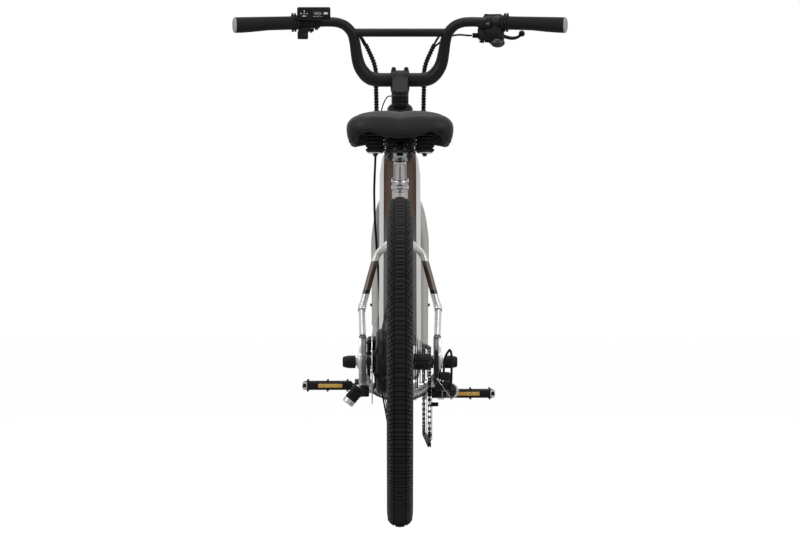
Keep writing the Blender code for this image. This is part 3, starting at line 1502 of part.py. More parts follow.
def cables_right(hung_on):
    """The right looms: the rear brake's hose and the shift housing into the frame."""
    start = shifter_pod() + Vector((-0.0330, 0.0, -0.004))
    wires = [
        start, start - 0.008 * X_AXIS,
        (0.130, 0.3400, 1.0800), (0.105, 0.3700, 1.0740), (0.078, 0.3935, 1.0560),
    ]
    line = [(0.176, 0.3420, 1.1170), *mirrored_line(LEFT_LOOM)[1:]]
    shape = loom("cables_right", line, [(wires, 0.0022)])
    return finish(shape, "cables_right", cable_sheath(), hung_on)


# Seat
SEAT_HEAD = seat(0.544)
BASE_BOTTOM = 0.8320
BASE_THICKNESS = 0.0030
SPRING_SIDE = 0.053
SPRING_Y = SADDLE_REAR + 0.050
PLATE_TOP = 0.8035


def seatpost(hung_on):
    """The sliding post with the round cradle its clamp grips."""
    post = cylinder("seatpost", SEATPOST_RADIUS, seat(COLLAR_BOTTOM - 0.120), SEAT_HEAD, 24)
    reach = 0.0165 * X_AXIS
    cradle = cylinder("cradle", 0.0095, SEAT_HEAD - reach, SEAT_HEAD + reach, 20)
    groove = box("groove", (0.008, 0.03, 0.012), SEAT_HEAD + Vector((0.0, 0.0, 0.0115)))
    return finish(cut(join(post, cradle), groove), "seatpost", polished_metal(), hung_on)


RAIL_LINE = [
    (0.020, 0.115, 0.8280),
    (0.021, 0.085, 0.8200),
    (0.022, 0.040, 0.8085),
    (0.022, 0.000, 0.8070),
    (0.022, -0.040, 0.8040),
    (0.026, -0.070, 0.7970),
    (0.031, -0.105, 0.7965),
]


def saddle_rails(hung_on):
    """Both rails with the clamp that holds them on the post and the brackets beside it."""
    rails = []
    for side in (-1, 1):
        line = [SEAT_HEAD + Vector((side * x, y, z - 0.790)) for x, y, z in RAIL_LINE]
        rails.append(tube("rail", line, 0.0035, 8))
    clamp_place = SEAT_HEAD + Vector((0.0, 0.0, 0.0165))
    clamp = box("saddle_rails", (0.0600, 0.034, 0.0125), clamp_place, rounding=0.003)
    saddle = cylinder("seat", 0.0098, SEAT_HEAD - 0.05 * X_AXIS, SEAT_HEAD + 0.05 * X_AXIS, 20)
    yokes, bolts = [], []
    for side in (-1, 1):
        yoke_place = SEAT_HEAD + Vector((side * 0.0205, 0.0, 0.0035))
        yokes.append(box("yoke", (0.0070, 0.028, 0.026), yoke_place, rounding=0.002))
        head, foot = (clamp_place + Vector((side * 0.0130, y, 0.0)) for y in (-0.0210, -0.0120))
        bolts.append(cylinder("bolt", 0.0035, head, foot, 8))
        near, far = (SEAT_HEAD + side * x * X_AXIS for x in (0.0170, 0.0260))
        bolts.append(cylinder("pinch", 0.003, near, far, 8))
    shape = join(cut(clamp, saddle), *yokes, *rails, *bolts)
    return finish(shape, "saddle_rails", dark_steel(), hung_on)


def half_width(y):
    """The saddle's half width from its rear, through its wings, to its nose."""
    known = [
        (SADDLE_REAR, 0.62), (SADDLE_REAR + 0.006, 0.80), (SADDLE_REAR + 0.022, 0.96),
        (SADDLE_REAR + 0.045, 1.0), (SADDLE_REAR + 0.075, 0.93), (SADDLE_REAR + 0.11, 0.74),
        (SADDLE_REAR + 0.15, 0.50), (SADDLE_REAR + 0.19, 0.34), (SADDLE_NOSE - 0.04, 0.25),
        (SADDLE_NOSE - 0.012, 0.215), (SADDLE_NOSE, 0.13),
    ]
    return SADDLE_WIDTH / 2 * float(np.interp(y, [a for a, _ in known], [b for _, b in known]))


def saddle_base(hung_on):
    """The stiff plate under the padding."""
    stations = np.linspace(SADDLE_REAR + 0.012, SADDLE_NOSE - 0.008, 12)
    right = [(0.68 * half_width(y), y) for y in stations]
    left = [(-x, y) for x, y in reversed(right)]
    place = Vector((0.0, 0.0, BASE_BOTTOM + BASE_THICKNESS / 2))
    plate = as_mesh(outline("saddle_base", [[*right, *left]], BASE_THICKNESS, place))
    return finish(plate, "saddle_base", black_plastic(), hung_on)


def cushion_ring(y):
    """One slice of the padding: a dipped crown above, wings hanging down at the sides."""
    t = (y - SADDLE_REAR) / SADDLE_LENGTH
    half = half_width(y)
    crown = SADDLE_TOP - 0.016 * max(0.0, 0.06 - t) / 0.06 - 0.020 * t**2 - 0.09 * max(0.0, t - 0.86)
    hang = 0.0245 * min(1.0, max(0.03, 1 - (t - 0.40) / 0.42))
    floor = BASE_BOTTOM + BASE_THICKNESS + GAP
    side_height = floor + 0.40 * (crown - floor) - 0.3 * hang
    points = []
    for u in (-1.0, -0.92, -0.72, -0.42, -0.15, 0.15, 0.42, 0.72, 0.92, 1.0):
        dip = 0.0035 * math.exp(-((u / 0.16) ** 2))
        lift = (1 - abs(u) ** 3.2) ** (1 / 2.2) if abs(u) < 1 else 0.0
        points.append(Vector((u * half, y, side_height + (crown - side_height) * lift - dip)))
    right_wing = [(0.97, 0.75), (0.88, 1.0), (0.78, 0.85), (0.70, 0.0)]
    left_wing = [(-u, drop) for u, drop in reversed(right_wing)]
    for u, drop in [*right_wing, (0.0, 0.0), *left_wing]:
        points.append(Vector((u * half, y, floor - drop * hang)))
    return points


def saddle_cushion(hung_on):
    stations = [0.0, 0.006, 0.022, 0.045, 0.075, 0.11, 0.15, 0.19, 0.230, 0.258, 0.270]
    rings = [cushion_ring(SADDLE_REAR + SADDLE_LENGTH * station / 0.270) for station in stations]
    return finish(loft("saddle_cushion", rings), "saddle_cushion", saddle_skin(), hung_on)


def saddle_springs(hung_on):
    """Two ribbed spring stacks on the plate that joins them behind the post."""
    plate_place = Vector((0.0, SPRING_Y, PLATE_TOP - 0.00150))
    plate = box("saddle_springs", (2 * SPRING_SIDE + 0.030, 0.030, 0.0030), plate_place)
    stacks = []
    for side in (-1, 1):
        foot, top = PLATE_TOP - 0.001, BASE_BOTTOM - GAP
        rib = (top - foot) / 3
        profile = [(0.0, top)]
        for k in range(3):
            high = top - k * rib
            profile += [(0.0185, high), (0.0210, high - 0.25 * rib)]
            profile += [(0.0210, high - 0.6 * rib), (0.0165, high - 0.85 * rib)]
        profile += [(0.0165, foot), (0.0, foot)]
        stacks.append(turned("stack", profile, Vector((side * SPRING_SIDE, SPRING_Y, 0.0)), Z_AXIS, 12))
    return finish(join(plate, *stacks), "saddle_springs", black_plastic(), hung_on)


# Assembly
def build_frame():
    head_tube()
    down_tube()
    battery_cover()
    battery_pack()
    controller()
    seat_tube()
    chainstays()
    seatstays()
    seat_collar()
    bottom_bracket()
    lower_headset()
    upper_headset()
    rear_caliper()
    rear_cables()
    axle_rod("rear_axle", REAR, -0.0935, 0.0935, 0.0025, None)
    axle_cap("axle_cap_left", -1, 0.0938)
    axle_cap("axle_cap_right", 1, 0.0938)
    derailleur()
    chain()


def build_steering():
    column = body("steering_body", STEER_FOOT)
    for make in (fork, stem, handlebar, display_unit, throttle_housing, shifter_housing):
        make(column)
    for make in (front_caliper, cables_left, cables_right):
        make(column)
    axle_rod("front_axle", FRONT, -0.0605, 0.0605, 0.0030, column)
    sides = ((-1, "left", PERCH_LEFT, LEVER_LEFT), (1, "right", PERCH_RIGHT, LEVER_RIGHT))
    for side, word, band, steps in sides:
        grip("grip_" + word, side, column)
        brake_perch("brake_perch_" + word, side, band, column)
        pivot = body(f"brake_lever_{word}_body", lever_pivot(side, band), column)
        brake_lever("brake_lever_" + word, side, band, steps, pivot)
    display_keypad(body("keypad_body", keypad_place(), column))
    throttle_lever(body("throttle_body", bar_point(-0.22), column))
    shift_lever(body("shift_body", thumb_pivot(), column))
    release_trigger(body("trigger_body", trigger_pivot(), column))
    spin = body("front_wheel_body", FRONT, column)
    wheel("front_wheel", FRONT, front_hub_profile(), 0.028, (-0.0325, 0.0325), 0.85, spin)
    tyre("front_tyre", FRONT, spin)
    rotor("front_rotor", FRONT, -0.037, 0.011 + GAP, spin)


def build_rear_wheel():
    spin = body("rear_wheel_body", REAR)
    wheel("rear_wheel", REAR, motor_hub_profile(), 0.070, (-0.038, 0.014), 0.60, spin)
    tyre("rear_tyre", REAR, spin)
    rotor("rear_rotor", REAR, -0.059, 0.015 + GAP, spin)


def build_drive():
    cassette(body("cassette_body", REAR))
    crankset = body("crankset_body", CRANK)
    for make in (crank_right, crank_left, chainring):
        make(crankset)
    for side, word in ((-1, "left"), (1, "right")):
        pedal("pedal_" + word, side, body(f"pedal_{word}_body", crank_end(side), crankset))
    pulley("guide_pulley", GUIDE_PLACE, body("guide_body", behind(0.0, *GUIDE_PLACE)))
    pulley("tension_pulley", TENSION_PLACE, body("tension_body", behind(0.0, *TENSION_PLACE)))


def build_seat():
    post = body("seatpost_body", seat(COLLAR_BOTTOM))
    seatpost(post)
    saddle = body("saddle_body", SEAT_HEAD, post)
    for make in (saddle_rails, saddle_base, saddle_cushion, saddle_springs):
        make(saddle)


def build_kickstand():
    pivot = body("kickstand_body", KICK_PIVOT)
    kickstand_leg(pivot)
    kickstand_foot(pivot)


build_frame()
build_steering()
build_rear_wheel()
build_drive()
build_seat()
build_kickstand()
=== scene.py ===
import json
import math

import bmesh
import bpy
import mathutils
import numpy as np
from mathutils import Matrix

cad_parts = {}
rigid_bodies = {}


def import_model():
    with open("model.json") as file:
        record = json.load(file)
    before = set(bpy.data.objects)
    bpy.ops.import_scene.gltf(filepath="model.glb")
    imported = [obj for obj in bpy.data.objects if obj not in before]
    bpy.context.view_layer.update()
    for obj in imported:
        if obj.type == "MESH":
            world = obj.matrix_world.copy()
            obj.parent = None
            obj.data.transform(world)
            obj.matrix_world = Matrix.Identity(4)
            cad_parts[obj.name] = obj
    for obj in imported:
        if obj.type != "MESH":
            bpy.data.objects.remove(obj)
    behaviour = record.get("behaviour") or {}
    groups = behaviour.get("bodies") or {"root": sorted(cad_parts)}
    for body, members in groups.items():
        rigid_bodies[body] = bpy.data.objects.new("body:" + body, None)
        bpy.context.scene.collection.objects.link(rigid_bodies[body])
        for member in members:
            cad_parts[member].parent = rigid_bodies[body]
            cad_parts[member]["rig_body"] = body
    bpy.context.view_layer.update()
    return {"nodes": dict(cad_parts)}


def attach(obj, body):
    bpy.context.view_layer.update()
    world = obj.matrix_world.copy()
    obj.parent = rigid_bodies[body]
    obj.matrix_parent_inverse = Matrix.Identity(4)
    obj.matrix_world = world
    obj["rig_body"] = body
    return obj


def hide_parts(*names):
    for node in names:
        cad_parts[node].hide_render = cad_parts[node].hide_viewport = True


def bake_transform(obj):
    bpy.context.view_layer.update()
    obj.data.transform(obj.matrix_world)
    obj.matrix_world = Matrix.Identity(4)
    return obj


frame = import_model()


# Frame tubes
# The head, seat and down tubes are hydroformed aluminium, welded and sprayed in a silver paint
# with fine metal flakes under a clear coat. The crank's shell is welded across their foot.


def unit(vectors):
    """Each vector divided by its own length."""
    vectors = np.asarray(vectors, float)
    return vectors / np.linalg.norm(vectors, axis=-1, keepdims=True)


def skin(grid, ends="fan"):
    """Quads over a grid of points whose rows are closed loops. The first and last rows are closed
    by a fan about their mean, or, with ends="ring", the last row joins the first."""
    grid = np.asarray(grid, float)
    rows, cols = grid.shape[:2]
    index = np.arange(rows * cols).reshape(rows, cols)
    if ends == "ring":
        index = np.vstack([index, index[:1]])
    right = np.roll(index, -1, axis=1)
    quads = np.stack([index[:-1], right[:-1], right[1:], index[1:]], -1).reshape(-1, 4)
    points = grid.reshape(-1, 3)
    if ends == "ring":
        return points, quads, np.zeros((0, 3), int)
    count = len(points)
    points = np.vstack([points, grid[0].mean(0), grid[-1].mean(0)])
    first, last = index[0], index[-1]
    low = np.stack([np.full(cols, count), np.roll(first, -1), first], -1)
    high = np.stack([np.full(cols, count + 1), last, np.roll(last, -1)], -1)
    return points, quads, np.vstack([low, high])


def outward(shape):
    """The shape with its faces turned so that the volume they close is positive: a sixth of the
    sum over triangles of a . (b x c)."""
    points, quads, triangles = shape
    corners = np.vstack([quads[:, [0, 1, 2]], quads[:, [0, 2, 3]], triangles])
    a, b, c = (points[corners[:, k]] for k in range(3))
    if np.einsum("ij,ij->i", a, np.cross(b, c)).sum() < 0:
        quads, triangles = quads[:, ::-1], triangles[:, ::-1]
    return points, quads, triangles


def piece(name, shapes, look, body, stands_for=(), sharp=38.0, values=None):
    """One object from several closed shapes, shaded smooth up to the given angle in degrees."""
    points, faces, total = [], [], 0
    for shape in shapes:
        vertices, quads, triangles = outward(shape)
        points.append(vertices)
        faces += (quads + total).tolist() + (triangles + total).tolist()
        total += len(vertices)
    mesh = bpy.data.meshes.new(name)
    mesh.from_pydata(np.vstack(points).tolist(), [], faces)
    mesh.shade_smooth()
    mesh.set_sharp_from_angle(angle=math.radians(sharp))
    # The values are a per-point attribute of painted shade and painted sheen, read by the tyre's material.
    if values is not None:
        mesh.attributes.new("groove_shade_and_shoulder_sheen", "FLOAT", "POINT").data.foreach_set("value", values)
    mesh.materials.append(look)
    obj = bpy.data.objects.new(name, mesh)
    bpy.context.scene.collection.objects.link(obj)
    if body:
        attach(obj, body)
    if stands_for:
        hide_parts(*stands_for)
    return obj


def refined(node, look, bevel=0.0005, sharp=42.0):
    """The CAD node's own shape with its triangles welded and its edges rounded a little."""
    mesh = frame["nodes"][node].data.copy()
    shape = bmesh.new()
    shape.from_mesh(mesh)
    bmesh.ops.remove_doubles(shape, verts=shape.verts, dist=0.000002)
    bmesh.ops.dissolve_limit(shape, angle_limit=math.radians(0.5), verts=shape.verts, edges=shape.edges)
    shape.to_mesh(mesh)
    shape.free()
    mesh.shade_smooth()
    mesh.set_sharp_from_angle(angle=math.radians(sharp))
    mesh.materials.clear()
    mesh.materials.append(look)
    obj = bpy.data.objects.new(node + "_skin", mesh)
    bpy.context.scene.collection.objects.link(obj)
    if bevel:
        rounding = obj.modifiers.new("rounding", "BEVEL")
        rounding.width = bevel
        rounding.segments = 2
        rounding.limit_method = "ANGLE"
        rounding.angle_limit = math.radians(sharp)
    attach(obj, frame["nodes"][node]["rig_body"])
    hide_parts(node)
    return obj


def equal_turns(count, shift=0.0):
    """Equal steps round a full circle, moved on by a share of a step."""
    return 2 * np.pi * (np.arange(count) + shift) / count


def turned(profile, centre, axis, steps=48, ends="fan"):
    """A profile of (radius, height) carried round an axis: centre + height * axis + radius *
    (cos a * side + sin a * ahead)."""
    profile = np.asarray(profile, float)
    axis = unit(axis)
    side = unit(np.cross(axis, (0.0, 0.0, 1.0) if abs(axis[2]) < 0.9 else (1.0, 0.0, 0.0)))
    ahead = np.cross(axis, side)
    angle = equal_turns(steps)
    around = np.cos(angle)[:, None] * side + np.sin(angle)[:, None] * ahead
    grid = np.asarray(centre) + profile[:, None, 1:] * axis + profile[:, None, :1] * around
    return skin(grid, ends)


def swept(path, radius, sides=24, flat=1.0, reference=(1.0, 0.0, 0.0)):
    """A round or oval section carried along a path: p + radius * (cos a * side + flat * sin a *
    up), where side is square to the path and to the reference direction."""
    path = np.asarray(path, float)
    along = unit(np.gradient(path, axis=0))
    up = unit(np.cross(along, reference))
    side = np.cross(up, along)
    angle = equal_turns(sides, 0.5)
    radius = np.broadcast_to(np.asarray(radius, float), len(path))[:, None, None]
    round_it = np.cos(angle)[:, None] * side[:, None] + flat * np.sin(angle)[:, None] * up[:, None]
    return skin(path[:, None] + radius * round_it)


def flowing(points, steps=8):
    """A Catmull-Rom curve through the points: the cubic of each four neighbours, evaluated at
    equal shares between the middle two."""
    given = np.asarray(points, float)
    given = np.vstack([2 * given[0] - given[1], given, 2 * given[-1] - given[-2]])
    a, b, c, d = given[:-3, None], given[1:-2, None], given[2:-1, None], given[3:, None]
    t = (np.arange(steps) / steps)[None, :, None]
    curve = b + 0.5 * t * (c - a + t * (2 * a - 5 * b + 4 * c - d + t * (3 * b - a - 3 * c + d)))
    return np.vstack([curve.reshape(-1, given.shape[1]), given[-2:-1]])


def rod(start, end, radius, sides=24, rounding=0.0, end_radius=None):
    """A straight round bar whose rims are chamfered by the rounding."""
    start, end = np.asarray(start, float), np.asarray(end, float)
    length, last = np.linalg.norm(end - start), radius if end_radius is None else end_radius
    r = rounding
    profile = [(radius - r, 0), (radius - 0.3 * r, 0.3 * r), (radius, r)]
    profile += [(last, length - r), (last - 0.3 * r, length - 0.3 * r), (last - r, length)]
    return turned(profile if r else [profile[0], (last, length)], start, end - start, sides)


def ring(start, end, outer, inner, sides=48, rounding=0.0006):
    """A tube with a bore, its outer rims chamfered by the rounding."""
    start, end = np.asarray(start, float), np.asarray(end, float)
    length, r = np.linalg.norm(end - start), rounding
    profile = [(outer - r, 0), (outer, r), (outer, length - r), (outer - r, length)]
    return turned([*profile, (inner, length), (inner, 0)], start, end - start, sides, "ring")


WHEEL, HALF_BASE = 0.350, 0.575
CRANK = np.array((0.0, -0.125, 0.282))
STEER_LINE = np.array((0.0, -math.cos(math.radians(68.5)), math.sin(math.radians(68.5))))
STEER_AHEAD = np.array((0.0, STEER_LINE[2], -STEER_LINE[1]))
STEER_FOOT = np.array((0.0, HALF_BASE, WHEEL)) - 0.050 * STEER_AHEAD
SEAT_LINE = np.array((0.0, -math.cos(math.radians(69.0)), math.sin(math.radians(69.0))))
SEAT_AHEAD = np.array((0.0, SEAT_LINE[2], -SEAT_LINE[1]))
ACROSS = np.array((1.0, 0.0, 0.0))


def steer(along, ahead=0.0, side=0.0):
    """A point by its place along, ahead of and beside the steering axis."""
    return STEER_FOOT + along * STEER_LINE + ahead * STEER_AHEAD + side * ACROSS


def seat(along, ahead=0.0, side=0.0):
    """A point by its place along, ahead of and beside the seat tube's axis."""
    return CRANK + along * SEAT_LINE + ahead * SEAT_AHEAD + side * ACROSS


def behind(side, ahead, height):
    """A point by its side, its distance ahead of the rear axle and its height."""
    return np.array((side, ahead - HALF_BASE, height))


def new_group(name, inputs, outputs):
    """An empty shader group with named sockets: (name, kind, value) in, (name, kind) out."""
    group = bpy.data.node_groups.new(name, "ShaderNodeTree")
    for label, kind, value in inputs:
        socket = group.interface.new_socket(label, in_out="INPUT", socket_type=kind)
        socket.default_value = value
    for label, kind in outputs:
        group.interface.new_socket(label, in_out="OUTPUT", socket_type=kind)
    return group, group.nodes.new("NodeGroupInput"), group.nodes.new("NodeGroupOutput")


def node(tree, kind, **settings):
    """A node of the kind; a setting names a property, or in_NAME or in_NUMBER an input."""
    found = tree.nodes.new(kind)
    for label, value in settings.items():
        if label.startswith("in_"):
            key = label[3:]
            found.inputs[int(key) if key.isdigit() else key].default_value = value
        else:
            setattr(found, label, value)
    return found


def grain_group():
    """Two colours and two roughnesses mixed by fine noise over broad noise, and their height."""
    group, given, put = new_group(
        "fine_grain",
        [
            ("Colour", "NodeSocketColor", (0.5, 0.5, 0.5, 1.0)),
            ("Second Colour", "NodeSocketColor", (0.4, 0.4, 0.4, 1.0)),
            ("Scale", "NodeSocketFloat", 600.0),
            ("Roughness", "NodeSocketFloat", 0.4),
            ("Roughness Spread", "NodeSocketFloat", 0.1),
        ],
        [
            ("Colour", "NodeSocketColor"),
            ("Roughness", "NodeSocketFloat"),
            ("Height", "NodeSocketFloat"),
        ],
    )
    link = group.links.new
    place = node(group, "ShaderNodeTexCoord")
    fine = node(group, "ShaderNodeTexNoise", in_Detail=3.0, in_Roughness=0.6)
    broad = node(group, "ShaderNodeTexNoise", in_Scale=7.0, in_Detail=4.0, in_Roughness=0.55)
    link(place.outputs["Object"], fine.inputs["Vector"])
    link(place.outputs["Object"], broad.inputs["Vector"])
    link(given.outputs["Scale"], fine.inputs["Scale"])
    share = node(group, "ShaderNodeMath", operation="MULTIPLY")
    link(fine.outputs["Fac"], share.inputs[0])
    link(broad.outputs["Fac"], share.inputs[1])
    spread = node(group, "ShaderNodeMapRange", in_1=0.12, in_2=0.40)
    link(share.outputs[0], spread.inputs[0])
    mixed = node(group, "ShaderNodeMix", data_type="RGBA")
    link(spread.outputs[0], mixed.inputs["Factor"])
    link(given.outputs["Colour"], mixed.inputs[6])
    link(given.outputs["Second Colour"], mixed.inputs[7])
    rough = node(group, "ShaderNodeMath", operation="MULTIPLY_ADD")
    link(spread.outputs[0], rough.inputs[0])
    link(given.outputs["Roughness Spread"], rough.inputs[1])
    link(given.outputs["Roughness"], rough.inputs[2])
    link(mixed.outputs[2], put.inputs["Colour"])
    link(rough.outputs[0], put.inputs["Roughness"])
    link(fine.outputs["Fac"], put.inputs["Height"])
    return group


FINE_GRAIN = grain_group()


def grained(name, colour, second, scale, rough, spread, bump, metallic=0.0, coat=0.0, **more):
    """A Principled material whose colour, roughness and relief come from the fine grain. A grey
    is given as one number."""
    look = bpy.data.materials.new(name)
    look.use_nodes = True
    tree = look.node_tree
    shader = tree.nodes["Principled BSDF"]
    grain = node(tree, "ShaderNodeGroup", node_tree=FINE_GRAIN)
    grain.inputs["Colour"].default_value = (*np.broadcast_to(colour, 3), 1.0)
    grain.inputs["Second Colour"].default_value = (*np.broadcast_to(second, 3), 1.0)
    grain.inputs["Scale"].default_value = scale
    grain.inputs["Roughness"].default_value = rough
    grain.inputs["Roughness Spread"].default_value = spread
    relief = node(tree, "ShaderNodeBump", in_Strength=bump, in_Distance=more.pop("depth", 0.0002))
    tree.links.new(grain.outputs["Height"], relief.inputs["Height"])
    tree.links.new(grain.outputs["Colour"], shader.inputs["Base Color"])
    tree.links.new(grain.outputs["Roughness"], shader.inputs["Roughness"])
    tree.links.new(relief.outputs["Normal"], shader.inputs["Normal"])
    shader.inputs["Metallic"].default_value = metallic
    shader.inputs["Specular IOR Level"].default_value = more.pop("shine", 0.5)
    shader.inputs["Coat Weight"].default_value = coat
    shader.inputs["Coat Roughness"].default_value = more.pop("coat_rough", 0.08)
    for label, value in more.items():
        shader.inputs[label.replace("_", " ")].default_value = value
    return look


silver = grained(
    "silver paint", (0.47, 0.466, 0.455), (0.57, 0.566, 0.553), 2600.0, 0.28, 0.12, 0.05, 0.60, 0.25
)
head_tube = turned(
    [(0.0258, 0), (0.0268, 0.0006), (0.0272, 0.004), (0.0270, 0.012), (0.0270, 0.164),
     (0.0272, 0.172), (0.0268, 0.1761), (0.0258, 0.1767), (0.0205, 0.1767), (0.0205, 0)],
    steer(0.4373), STEER_LINE, 64, "ring",
)
piece("head_tube_skin", [head_tube], silver, "frame", ["head_tube"])

seat_post_hole = ring(seat(0.19), seat(0.467), 0.017, 0.0139, 48)
seat_foot = rod(seat(0.0), seat(0.19), 0.017, 48)
shell = ring(CRANK - 0.0365 * ACROSS, CRANK + 0.0365 * ACROSS, 0.024, 0.0173, 48)
piece(
    "seat_tube_skin", [seat_post_hole, seat_foot, shell], silver, "frame",
    ["seat_tube"],
)


# Battery lid, battery and motor controller
# The battery stands in the down tube behind a long lid of brown painted aluminium, grey at its
# foot, that locks flush with the tube's upper face; the controller sits below it in the bay.
brown = grained(
    "brown paint", (0.036, 0.018, 0.010), (0.050, 0.027, 0.016), 1800.0, 0.36, 0.14, 0.05, 0.10, shine=0.16
)


def opened(look):
    """A look's node tree, its shader and the socket that feeds its base colour."""
    shader = look.node_tree.nodes["Principled BSDF"]
    return look.node_tree, shader, shader.inputs["Base Color"].links[0].from_socket


def copied(look, name):
    """The look copied under a new name."""
    look = look.copy()
    look.name = name
    return look


def tinted(tree, painted, factor, colour):
    """The painted socket mixed with a plain colour by the factor's socket."""
    mixed = node(tree, "ShaderNodeMix", data_type="RGBA")
    mixed.inputs[7].default_value = (*colour, 1.0)
    tree.links.new(factor, mixed.inputs["Factor"])
    tree.links.new(painted, mixed.inputs[6])
    return mixed.outputs[2]


def chained(tree, socket, operation, *values):
    """A maths node fed by the socket, its further inputs set to the values."""
    maths = node(tree, "ShaderNodeMath", operation=operation)
    tree.links.new(socket, maths.inputs[0])
    for index, value in enumerate(values, 1):
        maths.inputs[index].default_value = value
    return maths.outputs[0]


def object_place(tree):
    """The object coordinates, whole and split into X, Y and Z."""
    place = node(tree, "ShaderNodeTexCoord").outputs["Object"]
    split = node(tree, "ShaderNodeSeparateXYZ")
    tree.links.new(place, split.inputs[0])
    return place, split.outputs


def fading_brown():
    """The brown paint, turning dark grey below a soft edge in height."""
    look = copied(brown, "brown paint with grey foot")
    tree, shader, painted = opened(look)
    fade = node(tree, "ShaderNodeMapRange", in_1=0.600, in_2=0.680, in_3=1.0, in_4=0.0)
    tree.links.new(object_place(tree)[1]["Z"], fade.inputs[0])
    faded = tinted(tree, painted, fade.outputs[0], (0.085, 0.083, 0.082))
    tree.links.new(faded, shader.inputs["Base Color"])
    return look


def silver_with_brown_field():
    """The silver paint, brown within 36 mm of the middle on the tube's upper face by the head."""
    look = copied(silver, "silver paint with brown field")
    tree, shader, painted = opened(look)
    place, parts = object_place(tree)
    lift = node(tree, "ShaderNodeVectorMath", operation="DOT_PRODUCT")
    lift.inputs[1].default_value = (0.0, -0.7276, 0.686)
    tree.links.new(place, lift.inputs[0])
    inside = chained(tree, chained(tree, parts["X"], "ABSOLUTE"), "LESS_THAN", 0.0364)
    for test in (
        chained(tree, parts["Z"], "GREATER_THAN", 0.7860),
        chained(tree, parts["Z"], "LESS_THAN", 0.8135),
        chained(tree, lift.outputs["Value"], "GREATER_THAN", 0.295),
    ):
        both = node(tree, "ShaderNodeMath", operation="MULTIPLY")
        tree.links.new(inside, both.inputs[0])
        tree.links.new(test, both.inputs[1])
        inside = both.outputs[0]
    browned = tinted(tree, painted, inside, (0.043, 0.022, 0.013))
    tree.links.new(browned, shader.inputs["Base Color"])
    return look


refined("down_tube", silver_with_brown_field(), 0.0006)
refined("battery_cover", fading_brown(), 0.0008)
cell_wrap = grained("cell wrap", (0.03, 0.05, 0.09), (0.04, 0.06, 0.10), 300.0, 0.40, 0.2, 0.1)
refined("battery_pack", cell_wrap, 0.0)
brushed = grained(
    "brushed aluminium", (0.48, 0.48, 0.49), (0.36, 0.36, 0.37), 900.0, 0.26, 0.18, 0.08, 1.0
)
refined("controller", brushed, 0.0)


# Rear triangle
# Two bent seatstays meet in a wishbone behind the seat tube and end in forged sockets; the
# chainstays run from a welded yoke to plate dropouts with grey inner cheeks. The stays are
# silver, with a brown and a black band; a black bracket below the left one takes the kickstand.
CHAINSTAY = [
    (0.0745, 0.012, 0.318), (0.0690, 0.080, 0.308), (0.0645, 0.150, 0.300),
    (0.0560, 0.230, 0.290), (0.0470, 0.300, 0.283), (0.0400, 0.360, 0.279),
    (0.0310, 0.425, 0.2775),
]
SEATSTAY = [
    (0.0288, 0.285, 0.5975), (0.0446, 0.262, 0.5834), (0.0528, 0.248, 0.568),
    (0.0624, 0.210, 0.5348), (0.0730, 0.165, 0.4951), (0.0800, 0.1345, 0.4690),
]
DROPOUT = [
    (0.060, 0.389), (0.046, 0.401), (0.020, 0.381), (-0.014, 0.364), (-0.017, 0.340),
    (-0.008, 0.318), (0.008, 0.304), (0.040, 0.300), (0.044, 0.316), (0.026, 0.332),
    (0.026, 0.356),
]


def mirrored(points, side):
    """The points with their x multiplied by the side's sign, measured from the rear axle."""
    return np.asarray(points, float) * (side, 1.0, 1.0) - (0.0, HALF_BASE, 0.0)


def plate(outlines, thickness, place, rounding=0.0006, turn=(0.0, 0.0, 0.0)):
    """A flat curve of (x, y) outlines, filled and thickened, its rims rounded, as one shape.
    The first outline is the rim and the others are holes."""
    curve = bpy.data.curves.new("plate", "CURVE")
    curve.dimensions, curve.fill_mode = "2D", "BOTH"
    curve.extrude, curve.bevel_depth = thickness / 2 - rounding, rounding
    curve.bevel_resolution, curve.offset = 1, -rounding
    for points in outlines:
        spline = curve.splines.new("POLY")
        points = np.asarray(points, float)
        spline.points.add(len(points) - 1)
        spline.use_cyclic_u = True
        flat = np.column_stack([points, np.zeros(len(points)), np.ones(len(points))])
        spline.points.foreach_set("co", flat.ravel())
    obj = bpy.data.objects.new("plate", curve)
    bpy.context.scene.collection.objects.link(obj)
    graph = bpy.context.evaluated_depsgraph_get()
    mesh = bpy.data.meshes.new_from_object(obj.evaluated_get(graph))
    shape = bmesh.new()
    shape.from_mesh(mesh)
    bmesh.ops.remove_doubles(shape, verts=shape.verts, dist=0.000002)
    bmesh.ops.triangulate(shape, faces=shape.faces)
    bmesh.ops.recalc_face_normals(shape, faces=shape.faces)
    points = np.array([v.co for v in shape.verts])
    faces = np.array([[v.index for v in face.verts] for face in shape.faces])
    shape.free()
    bpy.data.objects.remove(obj, do_unlink=True)
    bpy.data.meshes.remove(mesh)
    return put(points, place, turn), np.zeros((0, 4), int), faces


def put(points, place, turn):
    """The points turned about X, then Y, then Z, in radians, and moved to the place."""
    x, y, z = turn
    cx, sx, cy, sy, cz, sz = (f(a) for a in (x, y, z) for f in (math.cos, math.sin))
    about_x = np.array([[1, 0, 0], [0, cx, -sx], [0, sx, cx]])
    about_y = np.array([[cy, 0, sy], [0, 1, 0], [-sy, 0, cy]])
    about_z = np.array([[cz, -sz, 0], [sz, cz, 0], [0, 0, 1]])
    return points @ (about_z @ about_y @ about_x).T + np.asarray(place, float)


SIDE_ON = (math.pi / 2, 0.0, math.pi / 2)


